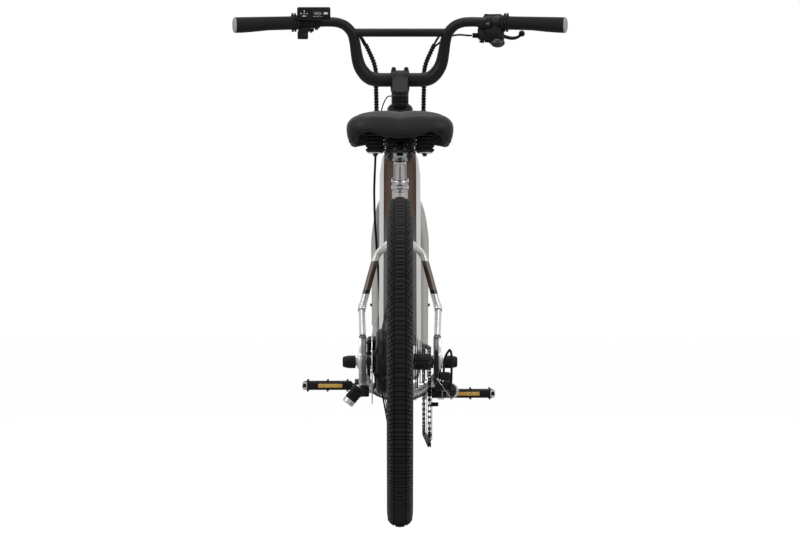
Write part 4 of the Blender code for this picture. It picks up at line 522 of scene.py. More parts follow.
def block(size, place, turn=(0.0, 0.0, 0.0), rounding=0.002, steps=3):
    """A box with rounded edges: a rounded rectangle of corner radius r, carried up the box and
    drawn in by r (1 - sin a) at each end while the height falls short by r (1 - cos a)."""
    half = np.asarray(size, float) / 2
    r = min(rounding, 0.49 * min(size))
    quarter = np.linspace(0, np.pi / 2, steps + 1)
    corners = []
    for k, (sx, sy) in enumerate(((1, 1), (-1, 1), (-1, -1), (1, -1))):
        angle = quarter + k * np.pi / 2
        corner = np.column_stack([sx * (half[0] - r) + 0 * angle, sy * (half[1] - r) + 0 * angle])
        corners.append((corner, np.column_stack([np.cos(angle), np.sin(angle)])))
    base = np.vstack([c for c, _ in corners])
    swing = np.vstack([s for _, s in corners])
    reach = np.concatenate([r * np.sin(quarter), r * np.sin(quarter)[::-1]])
    height = half[2] - r + r * np.cos(quarter)
    height = np.concatenate([-height, height[::-1]])
    plan = base[None] + reach[:, None, None] * swing[None]
    tall = np.broadcast_to(height[:, None, None], (*plan.shape[:2], 1))
    points, quads, triangles = skin(np.concatenate([plan, tall], -1))
    return put(points, place, turn), quads, triangles


def arc_points(radius, angle):
    """Points (r cos a, r sin a)."""
    return np.asarray(radius)[..., None] * np.column_stack([np.cos(angle), np.sin(angle)])


def round_hole(radius, centre=(0.0, 0.0), count=24):
    """A circle's points, for a hole."""
    return np.asarray(centre) + arc_points(radius, equal_turns(count))


def banded_silver():
    """The silver paint with a brown band and a black band, told apart by height."""
    look = copied(silver, "silver paint with bands")
    tree, shader, painted = opened(look)
    height = object_place(tree)[1]["Z"]
    brown_band, black_band = (0.085, 0.060, 0.044), (0.004, 0.003, 0.003)
    for low, high, colour in ((0.5015, 0.5640, brown_band), (0.4935, 0.5015, black_band)):
        middle = chained(tree, height, "SUBTRACT", (low + high) / 2)
        within = chained(tree, chained(tree, middle, "ABSOLUTE"), "LESS_THAN", (high - low) / 2)
        painted = tinted(tree, painted, within, colour)
    tree.links.new(painted, shader.inputs["Base Color"])
    return look


def dome(centre, axis, radius, height, steps=32):
    """A cap whose profile is a quarter ellipse: radius cos a, height sin a."""
    angle = np.linspace(0, np.pi / 2, 7)[:-1]
    profile = np.column_stack([radius * np.cos(angle), height * np.sin(angle)])
    return turned(profile, centre, axis, steps)


dropout_rim = [(ahead, height - WHEEL) for ahead, height in DROPOUT]
dropout_rim = flowing([*dropout_rim, dropout_rim[0]], 4)[:-1]
axle_hole = round_hole(0.0063)
window = (0.030, -0.036) + round_hole(1.0) * (0.011, 0.006)
chain_parts = [block((0.058, 0.022, 0.024), behind(0.0, 0.418, 0.2795), rounding=0.004)]
seat_parts, strut_rings, cheeks = [], [], []
for side in (-1, 1):
    chain_parts.append(swept(flowing(mirrored(CHAINSTAY, side)), 0.0078, 28))
    middle = behind(side * 0.0840, 0.0, WHEEL)
    chain_parts.append(plate([dropout_rim, axle_hole, window], 0.0070, middle, 0.0014, SIDE_ON))
    inner = behind(side * 0.0757, 0.0, WHEEL)
    cheeks.append(plate([dropout_rim * 0.985, axle_hole, window], 0.0094, inner, 0.0008, SIDE_ON))
    chain_parts.append(
        ring(behind(side * 0.071, 0, WHEEL), behind(side * 0.0907, 0, WHEEL), 0.0145, 0.0063, 40, 0.0015)
    )
    line = flowing(mirrored(SEATSTAY, side), 10)
    seat_parts.append(swept(line, 0.00775, 28))
    tip, way = line[-1], unit(line[-1] - line[-4])
    seat_parts.append(
        turned(
            [
                (0.0077, 0.0), (0.0086, 0.0012), (0.0088, 0.006), (0.0086, 0.013), (0.0076, 0.0175),
                (0.0052, 0.0195),
            ],
            tip - 0.002 * way, way, 32,
        ),
    )
    foot, top = behind(side * 0.07925, 0.0545, 0.3985), tip + 0.012 * way
    seat_parts.append(rod(foot, top, 0.0070, 28))
    strut_way = unit(top - foot)
    strut_rings.append(
        ring(foot + 0.002 * strut_way, foot + 0.0055 * strut_way, 0.0080, 0.0060, 28, 0.0004)
    )
    strut_rings.append(ring(top - 0.0085 * strut_way, top - 0.0060 * strut_way, 0.0077, 0.0060, 28, 0.0003))
bridge = flowing(
    [
        (-0.0330, 0.2817, 0.5955), (-0.0180, 0.2955, 0.6048), (0.0, 0.3000, 0.6075),
        (0.0180, 0.2955, 0.6048), (0.0330, 0.2817, 0.5955),
    ],
)
seat_parts.append(swept(bridge - (0.0, HALF_BASE, 0.0), 0.00775, 28, reference=(0.0, 0.0, 1.0)))
bracket = block((0.0180, 0.034, 0.030), behind(-0.0750, 0.140, 0.288), rounding=0.003)
piece("chainstays_skin", chain_parts, silver, "frame", ["chainstays"])
piece("seatstays_skin", seat_parts, banded_silver(), "frame", ["seatstays"])
black_plastic = grained("black plastic", 0.0035, 0.0070, 1100.0, 0.40, 0.2, 0.25, shine=0.12)
piece("strut_rings", strut_rings, black_plastic, "frame")
black_paint = grained("black powder coat", 0.0030, 0.0055, 900.0, 0.34, 0.16, 0.14, shine=0.16)
# The dropouts' inner cheeks are a darker grey than their silver outer plates.
cheek_grey = grained("dark grey cheek", (0.075, 0.074, 0.072), (0.110, 0.108, 0.105), 900.0, 0.34, 0.14, 0.1, 0.5)
piece("dropout_cheeks", cheeks, cheek_grey, "frame", sharp=35.0)
piece("kickstand_bracket", [bracket], black_paint, "frame")


# Headset, fork and front axle
# Pressed bearing cups carry the steerer. The fork's legs are one bent and swaged steel tube with
# plates welded in at the feet, sprayed in a warmer silver than the frame.
fork_silver = grained(
    "fork paint", (0.45, 0.438, 0.418), (0.54, 0.526, 0.504), 2600.0, 0.30, 0.12, 0.05, 0.55, 0.25
)
upper_cup = [(0.0200, 0.0), (0.0290, 0.0), (0.0293, 0.002), (0.0290, 0.0085), (0.0262, 0.0125)]
upper_cup += [(0.0222, 0.0155), (0.0146, 0.0157), (0.0146, -0.011), (0.0200, -0.011)]
upper_cup = turned(upper_cup, steer(0.6143), STEER_LINE, 64, "ring")
refined("lower_headset", black_paint, 0.0004)
piece("upper_headset_skin", [upper_cup], black_paint, "frame", ["upper_headset"])
LEG = [
    (0.020, 0.0525, 0.0125), (0.150, 0.0525, 0.0130), (0.278, 0.0525, 0.0140),
    (0.310, 0.0508, 0.0142), (0.345, 0.0462, 0.0146), (0.375, 0.0400, 0.0150),
    (0.396, 0.0310, 0.0155), (0.4050, 0.0180, 0.0158), (0.4075, 0.0, 0.0160),
]
right_leg = np.array([[*steer(s, 0.050 * (1 - s / 0.40), x), r] for s, x, r in LEG])
right_leg[-1, :3] = steer(0.4075)
left_leg = right_leg[-2::-1] * (-1.0, 1.0, 1.0, 1.0)
arch = flowing(np.vstack([right_leg, left_leg]), 8)
FRONT, REAR = np.array((0.0, HALF_BASE, WHEEL)), np.array((0.0, -HALF_BASE, WHEEL))
fork_parts = [swept(arch[:, :3], arch[:, 3], 36, reference=STEER_AHEAD)]
fork_parts.append(rod(steer(0.402), steer(0.6655), 0.0143, 36))
fork_parts.append(rod(steer(0.412), steer(0.4290), 0.018, 48, 0.0, 0.0235))
for side in (-1, 1):
    middle = FRONT + side * 0.0535 * ACROSS
    top = steer(0.040, 0.045) + side * 0.0535 * ACROSS
    across, up = top[1] - middle[1], top[2] - middle[2]
    heading, spread = math.atan2(up, across), math.acos((0.0130 - 0.0095) / math.hypot(across, up))
    first = heading + spread + np.linspace(0, 2 * np.pi - 2 * spread, 20)
    last = heading - spread + np.linspace(0, 2 * spread, 12)
    foot_rim = arc_points(0.0130, first)
    top_rim = (across, up) + arc_points(0.0095, last)
    rim = np.vstack([foot_rim, top_rim])
    fork_parts.append(plate([rim, axle_hole], 0.007, middle, 0.0008, SIDE_ON))
piece("fork_skin", fork_parts, fork_silver, "steering", ["fork"], 45.0)
boss_parts = [
    rod(steer(0.128, 0.034, side * 0.0640), steer(0.128, 0.034, side * 0.0690), 0.0034, 16, 0.0006)
    for side in (-1, 1)
]
piece("fork_bosses", boss_parts, black_paint, "steering")


def hexagon(centre, axis, radius, length, rounding=0.0006):
    """A hexagonal nut or bolt head with chamfered rims."""
    r = rounding
    profile = [(radius - r, 0), (radius, r), (radius, length - r), (radius - r, length)]
    return turned(profile, centre, axis, 6)


front_axle = [rod(FRONT - 0.0605 * ACROSS, FRONT + 0.0605 * ACROSS, 0.006, 24, 0.0008)]
for side in (-1, 1):
    front_axle.append(hexagon(FRONT + side * 0.0574 * ACROSS, (side, 0, 0), 0.0098, 0.0029))
piece("front_axle_skin", front_axle, brushed, "steering", ["front_axle"], 30.0)


# Wheels
# Black double-wall rims are laced with 32 black steel spokes to a plain front hub and, behind, to
# the shell of a geared hub motor. Steel nipples hold the spokes; each rim has a valve.
RIM = [
    (0.2980, 0.0166), (0.2976, 0.0170), (0.2930, 0.0168), (0.2860, 0.0160), (0.2790, 0.0125),
    (0.2750, 0.0085), (0.2740, 0.0040), (0.2738, 0.0), (0.2740, -0.0040), (0.2750, -0.0085),
    (0.2790, -0.0125), (0.2860, -0.0160), (0.2930, -0.0168), (0.2976, -0.0170),
    (0.2980, -0.0166), (0.2978, -0.0147), (0.2905, -0.0145), (0.2900, 0.0), (0.2905, 0.0145),
    (0.2978, 0.0147),
]
rim_black = grained("rim anodising", 0.0035, 0.0065, 1500.0, 0.34, 0.14, 0.1, shine=0.15)
steel = grained(
    "stainless steel", (0.46, 0.46, 0.47), (0.36, 0.36, 0.37), 1300.0, 0.24, 0.16, 0.06, 1.0
)


def about(axle, x, radius, angle):
    """A point at this angle and radius round an axle: (x, r cos a, r sin a) from its middle."""
    return axle + np.array((x, radius * math.cos(angle), radius * math.sin(angle)))


def laced(axle, flange, sides, lean):
    """Spokes as straight rods: foot angle = spoke angle + lean, foot at the flange, top at the
    rim's bed; each ends in a nipple."""
    found, nipples = [], []
    for side, place in enumerate(sides):
        for angle in equal_turns(16, side / 2):
            foot = about(axle, place, flange, angle + lean)
            top = about(axle, math.copysign(0.003, place), 0.276, angle)
            way = unit(top - foot)
            found.append(rod(foot, top, 0.00105, 8))
            nipples.append(rod(top - 0.014 * way, top, 0.0021, 8, 0.0004))
    return found, nipples


front_hub = [
    (0.0085, 0.0497), (0.0110, 0.0480), (0.0110, 0.0372), (0.0265, 0.0366), (0.0280, 0.0354),
    (0.0280, 0.0300), (0.0268, 0.0290), (0.0160, 0.0270), (0.0140, 0.0220), (0.0135, 0.0),
]
front_hub = [
    *front_hub, *[(r, -h) for r, h in reversed(front_hub[:-1])], (0.0063, -0.0497), (0.0063, 0.0497)
]
front_spokes, front_nipples = laced(FRONT, 0.0262, (-0.0325, 0.0325), 0.85)
piece(
    "front_wheel_skin",
    [turned(RIM, FRONT, ACROSS, 180, "ring"), turned(front_hub, FRONT, ACROSS, 64, "ring"), *front_spokes],
    rim_black, "front_wheel_set", ["front_wheel"],
)
motor_hub = [
    (0.0300, 0.0285), (0.0560, 0.0280), (0.0620, 0.0268), (0.0680, 0.0235), (0.0700, 0.0195),
    (0.0700, 0.0160), (0.0680, 0.0150), (0.0680, -0.0340), (0.0700, -0.0350), (0.0700, -0.0430),
    (0.0685, -0.0460), (0.0620, -0.0500), (0.0400, -0.0515), (0.0240, -0.0525),
    (0.0240, -0.0577), (0.0150, -0.0577), (0.0150, -0.0705), (0.0063, -0.0707), (0.0063, 0.0285),
]
motor_parts = [turned(motor_hub, REAR, ACROSS, 96, "ring")]
for angle in equal_turns(8, 0.25):
    head = about(REAR, 0.0272, 0.058, angle)
    motor_parts.append(rod(head, head + 0.0016 * ACROSS, 0.0030, 16, 0.0004))
rear_spokes, rear_nipples = laced(REAR, 0.0685, (-0.0385, 0.0140), 0.60)
piece(
    "rear_wheel_skin", [turned(RIM, REAR, ACROSS, 180, "ring"), *motor_parts, *rear_spokes],
    rim_black, "rear_wheel_set", ["rear_wheel"],
)
for word, axle, nipples in (("front", FRONT, front_nipples), ("rear", REAR, rear_nipples)):
    valve_foot = about(axle, 0.0, 0.2745, 0.2)
    valve_way = -unit(valve_foot - axle)
    nipples.append(rod(valve_foot, valve_foot + 0.030 * valve_way, 0.0030, 16, 0.0004))
    nipples.append(rod(valve_foot + 0.022 * valve_way, valve_foot + 0.0345 * valve_way, 0.0041, 16, 0.0008))
    piece(word + "_nipples", nipples, steel, word + "_wheel_set")


# Tyres
# 55 mm wide street tyres of black rubber: a centre row of wide blocks, a groove on each side at
# 11 mm, and slanted shoulder blocks. The moulded sidewall below them has fine raised rings.
TREAD_PITCHES = 75
TREAD_DEPTH = 0.0021
CROSS_GROOVES = (0.0, 0.40, 0.76)


def smoothstep(x):
    """3 x^2 - 2 x^3 of x kept between 0 and 1."""
    x = np.clip(x, 0.0, 1.0)
    return x * x * (3 - 2 * x)


def tyre_shape(axle):
    """Casing: a circle of radius 27.4 mm about r = 320.5 mm. Tread height is added to it: 0 in
    the grooves, 1 on the blocks. Each pitch has three blocks of unequal length; the cross grooves
    shear back beyond the centre row, and the first two blocks have a short groove in the
    shoulder. The sidewall's rings are a small sine, and the bead closes the section."""
    centre_radius, casing = 0.3205, 0.0274
    reach = np.array([
        0.0, 0.0050, 0.0097, 0.0103, 0.0125, 0.0131, 0.0164, 0.0169, 0.0178, 0.0183, 0.0195,
        0.0204, 0.0209, 0.0218, 0.0223, 0.0262, 0.0300, 0.0307, 0.0345, 0.0380, 0.0410, 0.0430,
        0.0450, 0.0470, 0.0490, 0.0520, 0.0550, 0.0580, 0.0605,
    ])
    reach = np.concatenate([-reach[:0:-1], reach])
    share = np.sort(np.concatenate([np.array((-0.054, -0.040, 0.040, 0.054)) + g for g in CROSS_GROOVES]))
    rows = TREAD_PITCHES * len(share)
    within = np.tile(share, TREAD_PITCHES)
    angle = 2 * np.pi * (np.repeat(np.arange(TREAD_PITCHES), len(share)) + within) / TREAD_PITCHES
    away = np.abs(reach)
    shear = 0.55 * np.clip(away - 0.0115, 0.0, 0.022) / WHEEL
    on_block = (np.min([np.abs(within - g) for g in CROSS_GROOVES], 0) > 0.047).astype(float)
    first = (within > 0.0) & (within < 0.40)
    second = (within > 0.40) & (within < 0.76)
    ring_groove = (away > 0.0100) & (away < 0.0128)
    far_groove = (away > 0.0206) & (away < 0.0221)
    near_groove = (away > 0.0166) & (away < 0.0181)
    cut = first[:, None] * far_groove[None] + second[:, None] * near_groove[None]
    height = on_block[:, None] * (1.0 - ring_groove)[None] * (1 - cut) * (away < 0.0303)[None]
    lines = np.where((away > 0.038) & (away < 0.058), 0.00018 * np.cos((away - 0.038) * 2400), 0.0)
    bend = reach / casing
    radius = casing + TREAD_DEPTH * height + lines[None]
    x = radius * np.sin(bend)[None]
    r = centre_radius + radius * np.cos(bend)[None]
    turn = angle[:, None] + shear[None]
    outer = np.stack([axle[0] + x, axle[1] + r * np.cos(turn), axle[2] + r * np.sin(turn)], -1)
    bead = np.array([(0.0143, 0.2985), (0.0140, 0.2910), (0.0085, 0.2912), (0.0090, 0.3000)])
    arc = np.linspace(2.15, 0.0, 8)[:, None]
    inside = np.hstack([0.0235 * np.sin(arc), 0.3205 + 0.0235 * np.cos(arc)])
    half = np.vstack([bead, inside])
    inner = np.vstack([half, half[-2::-1] * (-1, 1)])
    turn = np.broadcast_to(angle[:, None], (rows, len(inner)))
    inner = np.stack([
        np.broadcast_to(axle[0] + inner[:, 0], turn.shape),
        axle[1] + inner[:, 1] * np.cos(turn), axle[2] + inner[:, 1] * np.sin(turn),
    ], -1)
    # Painted light for the tyre's material: the value is 0 in the grooves, which gives them painted shade,
    # and on the blocks it rises from 1 to 2 towards the shoulders, with 1.3 on the sidewall, for a painted
    # sheen.
    shoulder_sheen = 1 + smoothstep((away - 0.013) / 0.012)
    groove_shade_and_shoulder_sheen = np.where(away > 0.0303, 1.3, height * shoulder_sheen)
    groove_shade_and_shoulder_sheen = np.concatenate([groove_shade_and_shoulder_sheen, np.full((rows, inner.shape[1]), 1.0)], 1)
    return skin(np.concatenate([outer, inner], 1), "ring"), groove_shade_and_shoulder_sheen.ravel()


def tyre_rubber():
    """Black rubber. Painted shade makes the grooves nearly black, and a painted sheen makes it greyer
    towards the shoulders.
    """
    look = grained(
        "tyre rubber", (0.0050, 0.0045, 0.0045), (0.0100, 0.0095, 0.0095), 420.0, 0.60, 0.25, 0.35,
        depth=0.0003, shine=0.15,
    )
    tree, shader, painted = opened(look)
    painted_light_attribute = node(tree, "ShaderNodeAttribute", attribute_name="groove_shade_and_shoulder_sheen")
    groove_shade = node(tree, "ShaderNodeMapRange", in_1=0.45, in_2=0.95, in_3=1.0, in_4=0.0)
    edge = node(tree, "ShaderNodeMapRange", in_1=1.0, in_2=2.0, in_3=0.0, in_4=1.0)
    tree.links.new(painted_light_attribute.outputs["Fac"], groove_shade.inputs[0])
    tree.links.new(painted_light_attribute.outputs["Fac"], edge.inputs[0])
    # Painted sheen: greyer towards the shoulders and on the sidewall.
    painted = tinted(tree, painted, edge.outputs[0], (0.040, 0.039, 0.041))
    # Painted shade: nearly black in the grooves.
    painted = tinted(tree, painted, groove_shade.outputs[0], (0.0008, 0.0008, 0.0008))
    tree.links.new(painted, shader.inputs["Base Color"])
    return look


rubber = tyre_rubber()
for word, axle in (("front", FRONT), ("rear", REAR)):
    shape, groove_shade_and_shoulder_sheen = tyre_shape(axle)
    piece(
        word + "_tyre_skin", [shape], rubber, word + "_wheel_set",
        [word + "_tyre"], 32.0, groove_shade_and_shoulder_sheen,
    )


# Brakes
# Stainless discs with a drilled, scalloped band are bolted to each hub's left; black calipers
# reach over their rims, the front one on a bracket behind the fork's left leg.
def disc(axle, side, bore):
    """A disc's outline is r = 89.3 mm + 0.7 mm cos 24a; six windows leave curved arms, and small
    round holes pass through the band in a repeating slant."""
    angle = equal_turns(192)
    rim_radius = 0.0893 + 0.0007 * np.cos(24 * angle)
    outlines = [arc_points(rim_radius, angle)]
    outlines.append(round_hole(bore, count=32))
    for middle in equal_turns(6):
        far = middle + np.radians(np.linspace(-24, 24, 9))
        near = middle + np.radians(np.linspace(30, 2, 6))
        low = max(bore + 0.009, 0.030)
        outlines.append(np.vstack([arc_points(0.0735, far), arc_points(low, near)]))
    for k, spot in enumerate(equal_turns(36, 0.5)):
        out = (0.0775, 0.0815, 0.0855)[k % 3]
        outlines.append(round_hole(0.0016, (out * math.cos(spot), out * math.sin(spot)), 10))
    return plate(outlines, 0.0019, axle + side * ACROSS, 0.0003, SIDE_ON)


disc_steel = grained("disc steel", (0.66, 0.66, 0.67), (0.50, 0.50, 0.51), 700.0, 0.20, 0.16, 0.08, 1.0)
for word, axle, x, bore in (("front", FRONT, -0.037, 0.0118), ("rear", REAR, -0.059, 0.0156)):
    piece(
        word + "_disc", [disc(axle, x, bore)], disc_steel, word + "_wheel_set",
        [word + "_rotor"], 30.0,
    )
for word, axle, x, radius in (("front", FRONT, -0.0382, 0.0195), ("rear", REAR, -0.0602, 0.0220)):
    bolts = []
    for angle in equal_turns(6, 0.5):
        head = about(axle, x, radius, angle)
        bolts.append(rod(head, head - 0.0018 * ACROSS, 0.0032, 16, 0.0005))
    piece(word + "_disc_bolts", bolts, steel, word + "_wheel_set")
for word in ("rear", "front"):
    refined(word + "_caliper", black_paint, 0.0010)
rear_way = np.array((0.0, math.cos(math.radians(18.8)), math.sin(math.radians(18.8))))
rear_spot = REAR + 0.0870 * rear_way
caliper_bolts = []
for tall in (0.012, -0.012):
    foot = rear_spot + (-0.0706, -tall * rear_way[2], tall * rear_way[1])
    caliper_bolts.append(hexagon(foot, (-1, 0, 0), 0.0038, 0.0028))
piece("caliper_bolts", caliper_bolts, steel, "frame", sharp=30.0)


# Crankset
# The right arm is forged aluminium, polished, and carries a stamped 48-tooth ring; the left arm
# is painted black. Their spindle turns in a cartridge bearing inside the crank's shell.
PITCH = 0.0127
RING_PLANE, COG_PLANE = 0.0525, 0.0625
polished = grained(
    "polished aluminium", (0.44, 0.435, 0.44), (0.30, 0.298, 0.305), 500.0, 0.12, 0.10, 0.04, 1.0
)
dark_steel = grained(
    "dark steel", (0.045, 0.045, 0.046), (0.020, 0.020, 0.021), 800.0, 0.32, 0.18, 0.12, 1.0
)


def toothed(teeth, holes, thickness, place):
    """A sprocket's outline: four points a tooth, from the root circle up a flank to the tip."""
    pitch_circle = PITCH / (2 * math.sin(math.pi / teeth))
    share = np.tile([0.0, 0.22, 0.40, 0.60, 0.78], teeth) + np.repeat(np.arange(teeth), 5)
    out = pitch_circle + np.tile([-0.0048, -0.0038, 0.0010, 0.0010, -0.0038], teeth)
    angle = 2 * np.pi * share / teeth
    rim = arc_points(out, angle)
    return plate([rim, *holes], thickness, place, 0.0002, SIDE_ON)


ring_holes = [round_hole(0.0160)]
for middle in equal_turns(5):
    wide = middle + np.radians(np.linspace(-27, 27, 9))
    narrow = middle + np.radians(np.linspace(19, -19, 6))
    ring_holes.append(np.vstack([arc_points(0.0790, wide), arc_points(0.0345, narrow)]))
ring_plate = toothed(48, ring_holes, 0.0022, CRANK + RING_PLANE * ACROSS)
piece("chainring_skin", [ring_plate], dark_steel, "crankset", ["chainring"], 30.0)
refined("crank_right", polished, 0.0014, 35.0)
refined("crank_left", black_paint, 0.0014, 35.0)
refined("bottom_bracket", dark_steel, 0.0004)
crank_bolts = []
for side in (-1, 1):
    cap = CRANK + side * 0.0975 * ACROSS
    crank_bolts.append(rod(cap, cap + side * 0.0022 * ACROSS, 0.0112, 32, 0.0008))
piece("crank_caps", crank_bolts, black_plastic, "crankset")


# Chain, cassette and rear changer
# Seven steel cogs on the freehub, a roller chain of outer and inner plates on pins, and a black
# changer with bright links and a long cage with two toothed guide wheels.
GUIDE, TENSION = (0.015, 0.283), (0.035, 0.194)
COGS = (14, 16, 18, 20, 22, 24, 28)


def chain_line():
    """The chain's pitch line: equal steps of one pitch along the arcs it wraps and the straight
    runs between them, as (x, y, z)."""
    pulley = PITCH / (2 * math.sin(math.pi / 11))
    wraps = [
        (CRANK[1], CRANK[2], -PITCH / (2 * math.sin(math.pi / 48)), RING_PLANE),
        (REAR[1], REAR[2], -PITCH / (2 * math.sin(math.pi / 14)), COG_PLANE),
        (REAR[1] + GUIDE[0], GUIDE[1], pulley, COG_PLANE),
        (REAR[1] + TENSION[0], TENSION[1], -pulley, COG_PLANE),
    ]
    lefts = []
    for here, there in zip(wraps, [*wraps[1:], wraps[0]]):
        gap_y, gap_z = there[0] - here[0], there[1] - here[1]
        spread = math.asin((here[2] - there[2]) / math.hypot(gap_y, gap_z))
        lefts.append(math.atan2(gap_z, gap_y) - spread + math.pi / 2)
    dense = []
    for index, (y, z, radius, x) in enumerate(wraps):
        start, end = lefts[index - 1], lefts[index]
        turn = (end - start) % (2 * math.pi) if radius < 0 else -((start - end) % (2 * math.pi))
        angle = start + turn * np.linspace(0, 1, 80)
        dense.append(np.column_stack([
            np.full(80, x), y + radius * np.cos(angle), z + radius * np.sin(angle)
        ]))
    dense = np.vstack([*dense, dense[0][:1]])
    length = np.concatenate([[0.0], np.cumsum(np.linalg.norm(np.diff(dense, axis=0), axis=1))])
    count = 2 * round(length[-1] / PITCH / 2)
    places = length[-1] * np.arange(count + 1) / count
    return np.column_stack([np.interp(places, length, dense[:, k]) for k in range(3)])


def chain_links():
    """Each link is two waisted plates, (c, +-s) outlines of ten points, and a roller at its end;
    every second link's plates stand outside its neighbours'."""
    pins = chain_line()
    start, end = pins[:-1], pins[1:]
    along = unit(end - start)
    up = np.cross(along, ACROSS)
    half = np.linalg.norm(end - start, axis=1) / 2
    angle = np.radians([-70, -25, 25, 70])
    waist = np.array([[0.0, 0.0031]])
    tip = np.column_stack([np.cos(angle) * 0.0041, np.sin(angle) * 0.0041])
    plan = np.vstack([tip + (1000, 0), waist, (-tip) - (1000, 0), -waist])
    shift = np.sign(plan[:, 0]) * (np.abs(plan[:, 0]) > 500)
    flat = plan[:, 0] - 1000 * shift
    middle = (start + end) / 2
    found = []
    for side in (-1, 1):
        for parity, near, far in ((0, 0.0024, 0.0033), (1, 0.0014, 0.0023)):
            picked = np.arange(len(start)) % 2 == parity
            for k in np.flatnonzero(picked):
                line = middle[k] + (shift * half[k] + flat)[:, None] * along[k] + plan[:, 1:] * up[k]
                found.append(skin(np.stack([line + side * near * ACROSS, line + side * far * ACROSS])))
    for k in range(len(start)):
        found.append(rod(start[k] - 0.0036 * ACROSS, start[k] + 0.0036 * ACROSS, 0.0020, 8))
    return found


chain_steel = grained(
    "chain steel", (0.060, 0.058, 0.057), (0.028, 0.026, 0.026), 700.0, 0.28, 0.2, 0.12, 1.0
)
piece("chain_links", chain_links(), chain_steel, "frame", ["chain"], 30.0)
cog_parts = [ring(REAR + 0.0290 * ACROSS, REAR + 0.0662 * ACROSS, 0.0172, 0.0063, 32)]
cog_parts.append(ring(REAR + 0.0650 * ACROSS, REAR + 0.0705 * ACROSS, 0.0135, 0.0063, 32))
for k, teeth in enumerate(COGS):
    spot = REAR + (COG_PLANE - 0.005 * k) * ACROSS
    wide = PITCH / (2 * math.sin(math.pi / teeth)) - 0.0095
    holes = [round_hole(0.0150)]
    if wide > 0.026:
        holes += [
            round_hole(
                min(0.0052, (wide - 0.018) / 2.2),
                ((wide + 0.018) / 2 * math.cos(a), (wide + 0.018) / 2 * math.sin(a)), 12,
            )
            for a in equal_turns(6)
        ]
    cog_parts.append(toothed(teeth, holes, 0.0018, spot))
piece("cassette_skin", cog_parts, dark_steel, "cassette_set", ["cassette"], 30.0)


def guide_wheel(name, place, body):
    """A guide wheel: eleven teeth, five round windows and a bush."""
    centre = behind(COG_PLANE, *place)
    windows = [
        round_hole(0.0028, (0.0115 * math.cos(a), 0.0115 * math.sin(a)), 12)
        for a in equal_turns(5)
    ]
    wheel = toothed(11, [round_hole(0.0033), *windows], 0.0020, centre)
    hub = ring(centre - 0.0036 * ACROSS, centre + 0.0036 * ACROSS, 0.0068, 0.0033, 24)
    piece(name + "_skin", [wheel, hub], black_plastic, body, [name], 30.0)


guide_wheel("guide_pulley", GUIDE, "guide_pulley_set")
guide_wheel("tension_pulley", TENSION, "tension_pulley_set")


def link_outline(start, end, first, last):
    """The outline round two circles, in (ahead, up) from the first one's middle."""
    across, up = np.asarray(end, float) - np.asarray(start, float)
    heading = math.atan2(up, across)
    spread = math.acos((first - last) / math.hypot(across, up))
    back = heading + spread + np.linspace(0, 2 * np.pi - 2 * spread, 16)
    front = heading - spread + np.linspace(0, 2 * spread, 16)
    return np.vstack([arc_points(first, back), (across, up) + arc_points(last, front)])


KNUCKLE = (-0.026, 0.301)
slot_hole = link_outline((0.0, 0.0), (0.013, -0.055), 0.0042, 0.0042) + (0.004, -0.017)
cage_plan = link_outline(GUIDE, TENSION, 0.0102, 0.0102)
outer_cage, inner_cage = (
    plate([cage_plan, slot_hole], 0.0013, behind(x, *GUIDE), 0.0003, SIDE_ON) for x in (0.0676, 0.0566)
)
cage_bolts = []
for place in (GUIDE, TENSION):
    cage_bolts.append(rod(behind(0.0563, *place), behind(0.0679, *place), 0.0025, 16))
    cage_bolts.append(rod(behind(0.0552, *place), behind(0.0566, *place), 0.0042, 16, 0.0005))
hanger = plate(
    [link_outline((-0.0245, 0.370), KNUCKLE, 0.0060, 0.0080)], 0.0072,
    behind(0.0771, -0.0245, 0.370), 0.0010, SIDE_ON,
)
upper_knuckle = rod(behind(0.0735, *KNUCKLE), behind(0.106, *KNUCKLE), 0.012, 40, 0.0012)
lower_knuckle = rod(behind(0.0672, *GUIDE), behind(0.1130, *GUIDE), 0.0100, 40, 0.0010)
link_plan = link_outline(KNUCKLE, GUIDE, 0.0105, 0.0092)
inner_link = plate([link_plan], 0.0028, behind(0.0880, *KNUCKLE), 0.0006, SIDE_ON)
outer_link = plate([link_plan], 0.0044, behind(0.1020, *KNUCKLE), 0.0010, SIDE_ON)
housing = block((0.0250, 0.0220, 0.0400), behind(0.0950, -0.0180, 0.3090), rounding=0.0055)
stub = rod(behind(0.0660, 0.0420, 0.2590), behind(0.0815, 0.0420, 0.2590), 0.0044, 20, 0.0008)
piece(
    "changer_body", [hanger, upper_knuckle, lower_knuckle, inner_link, outer_link, housing, stub],
    black_paint, "frame", ["derailleur"], 35.0,
)
edge_plan = link_outline(KNUCKLE, GUIDE, 0.0112, 0.0099)
edges = [plate([edge_plan], 0.0010, behind(x, *KNUCKLE), 0.0003, SIDE_ON) for x in (0.0902, 0.0992, 0.1048)]
cover_at = behind(0.1062, -0.008, 0.2885)
cover = dome(cover_at, (1.0, 0.0, 0.0), 0.0172, 0.0185, 48)
cover_face = dome(cover_at - (0.0, 0.0052, -0.0008), (1.0, 0.0, 0.0), 0.0158, 0.0148, 48)
brace = rod(behind(0.0775, -0.0400, 0.3160), behind(0.1060, -0.0330, 0.2760), 0.0008, 12, 0.0003)
piece("changer_cover", [cover], polished, "frame", sharp=35.0)
piece("changer_cover_face", [cover_face], black_paint, "frame", sharp=35.0)
stop_screws = [
    rod(
        behind(0.0845 + 0.006 * k, -0.036, 0.3095 - 0.002 * k),
        behind(0.0845 + 0.006 * k, -0.0425, 0.3125 - 0.002 * k), 0.0018, 12, 0.0003,
    )
    for k in range(2)
]
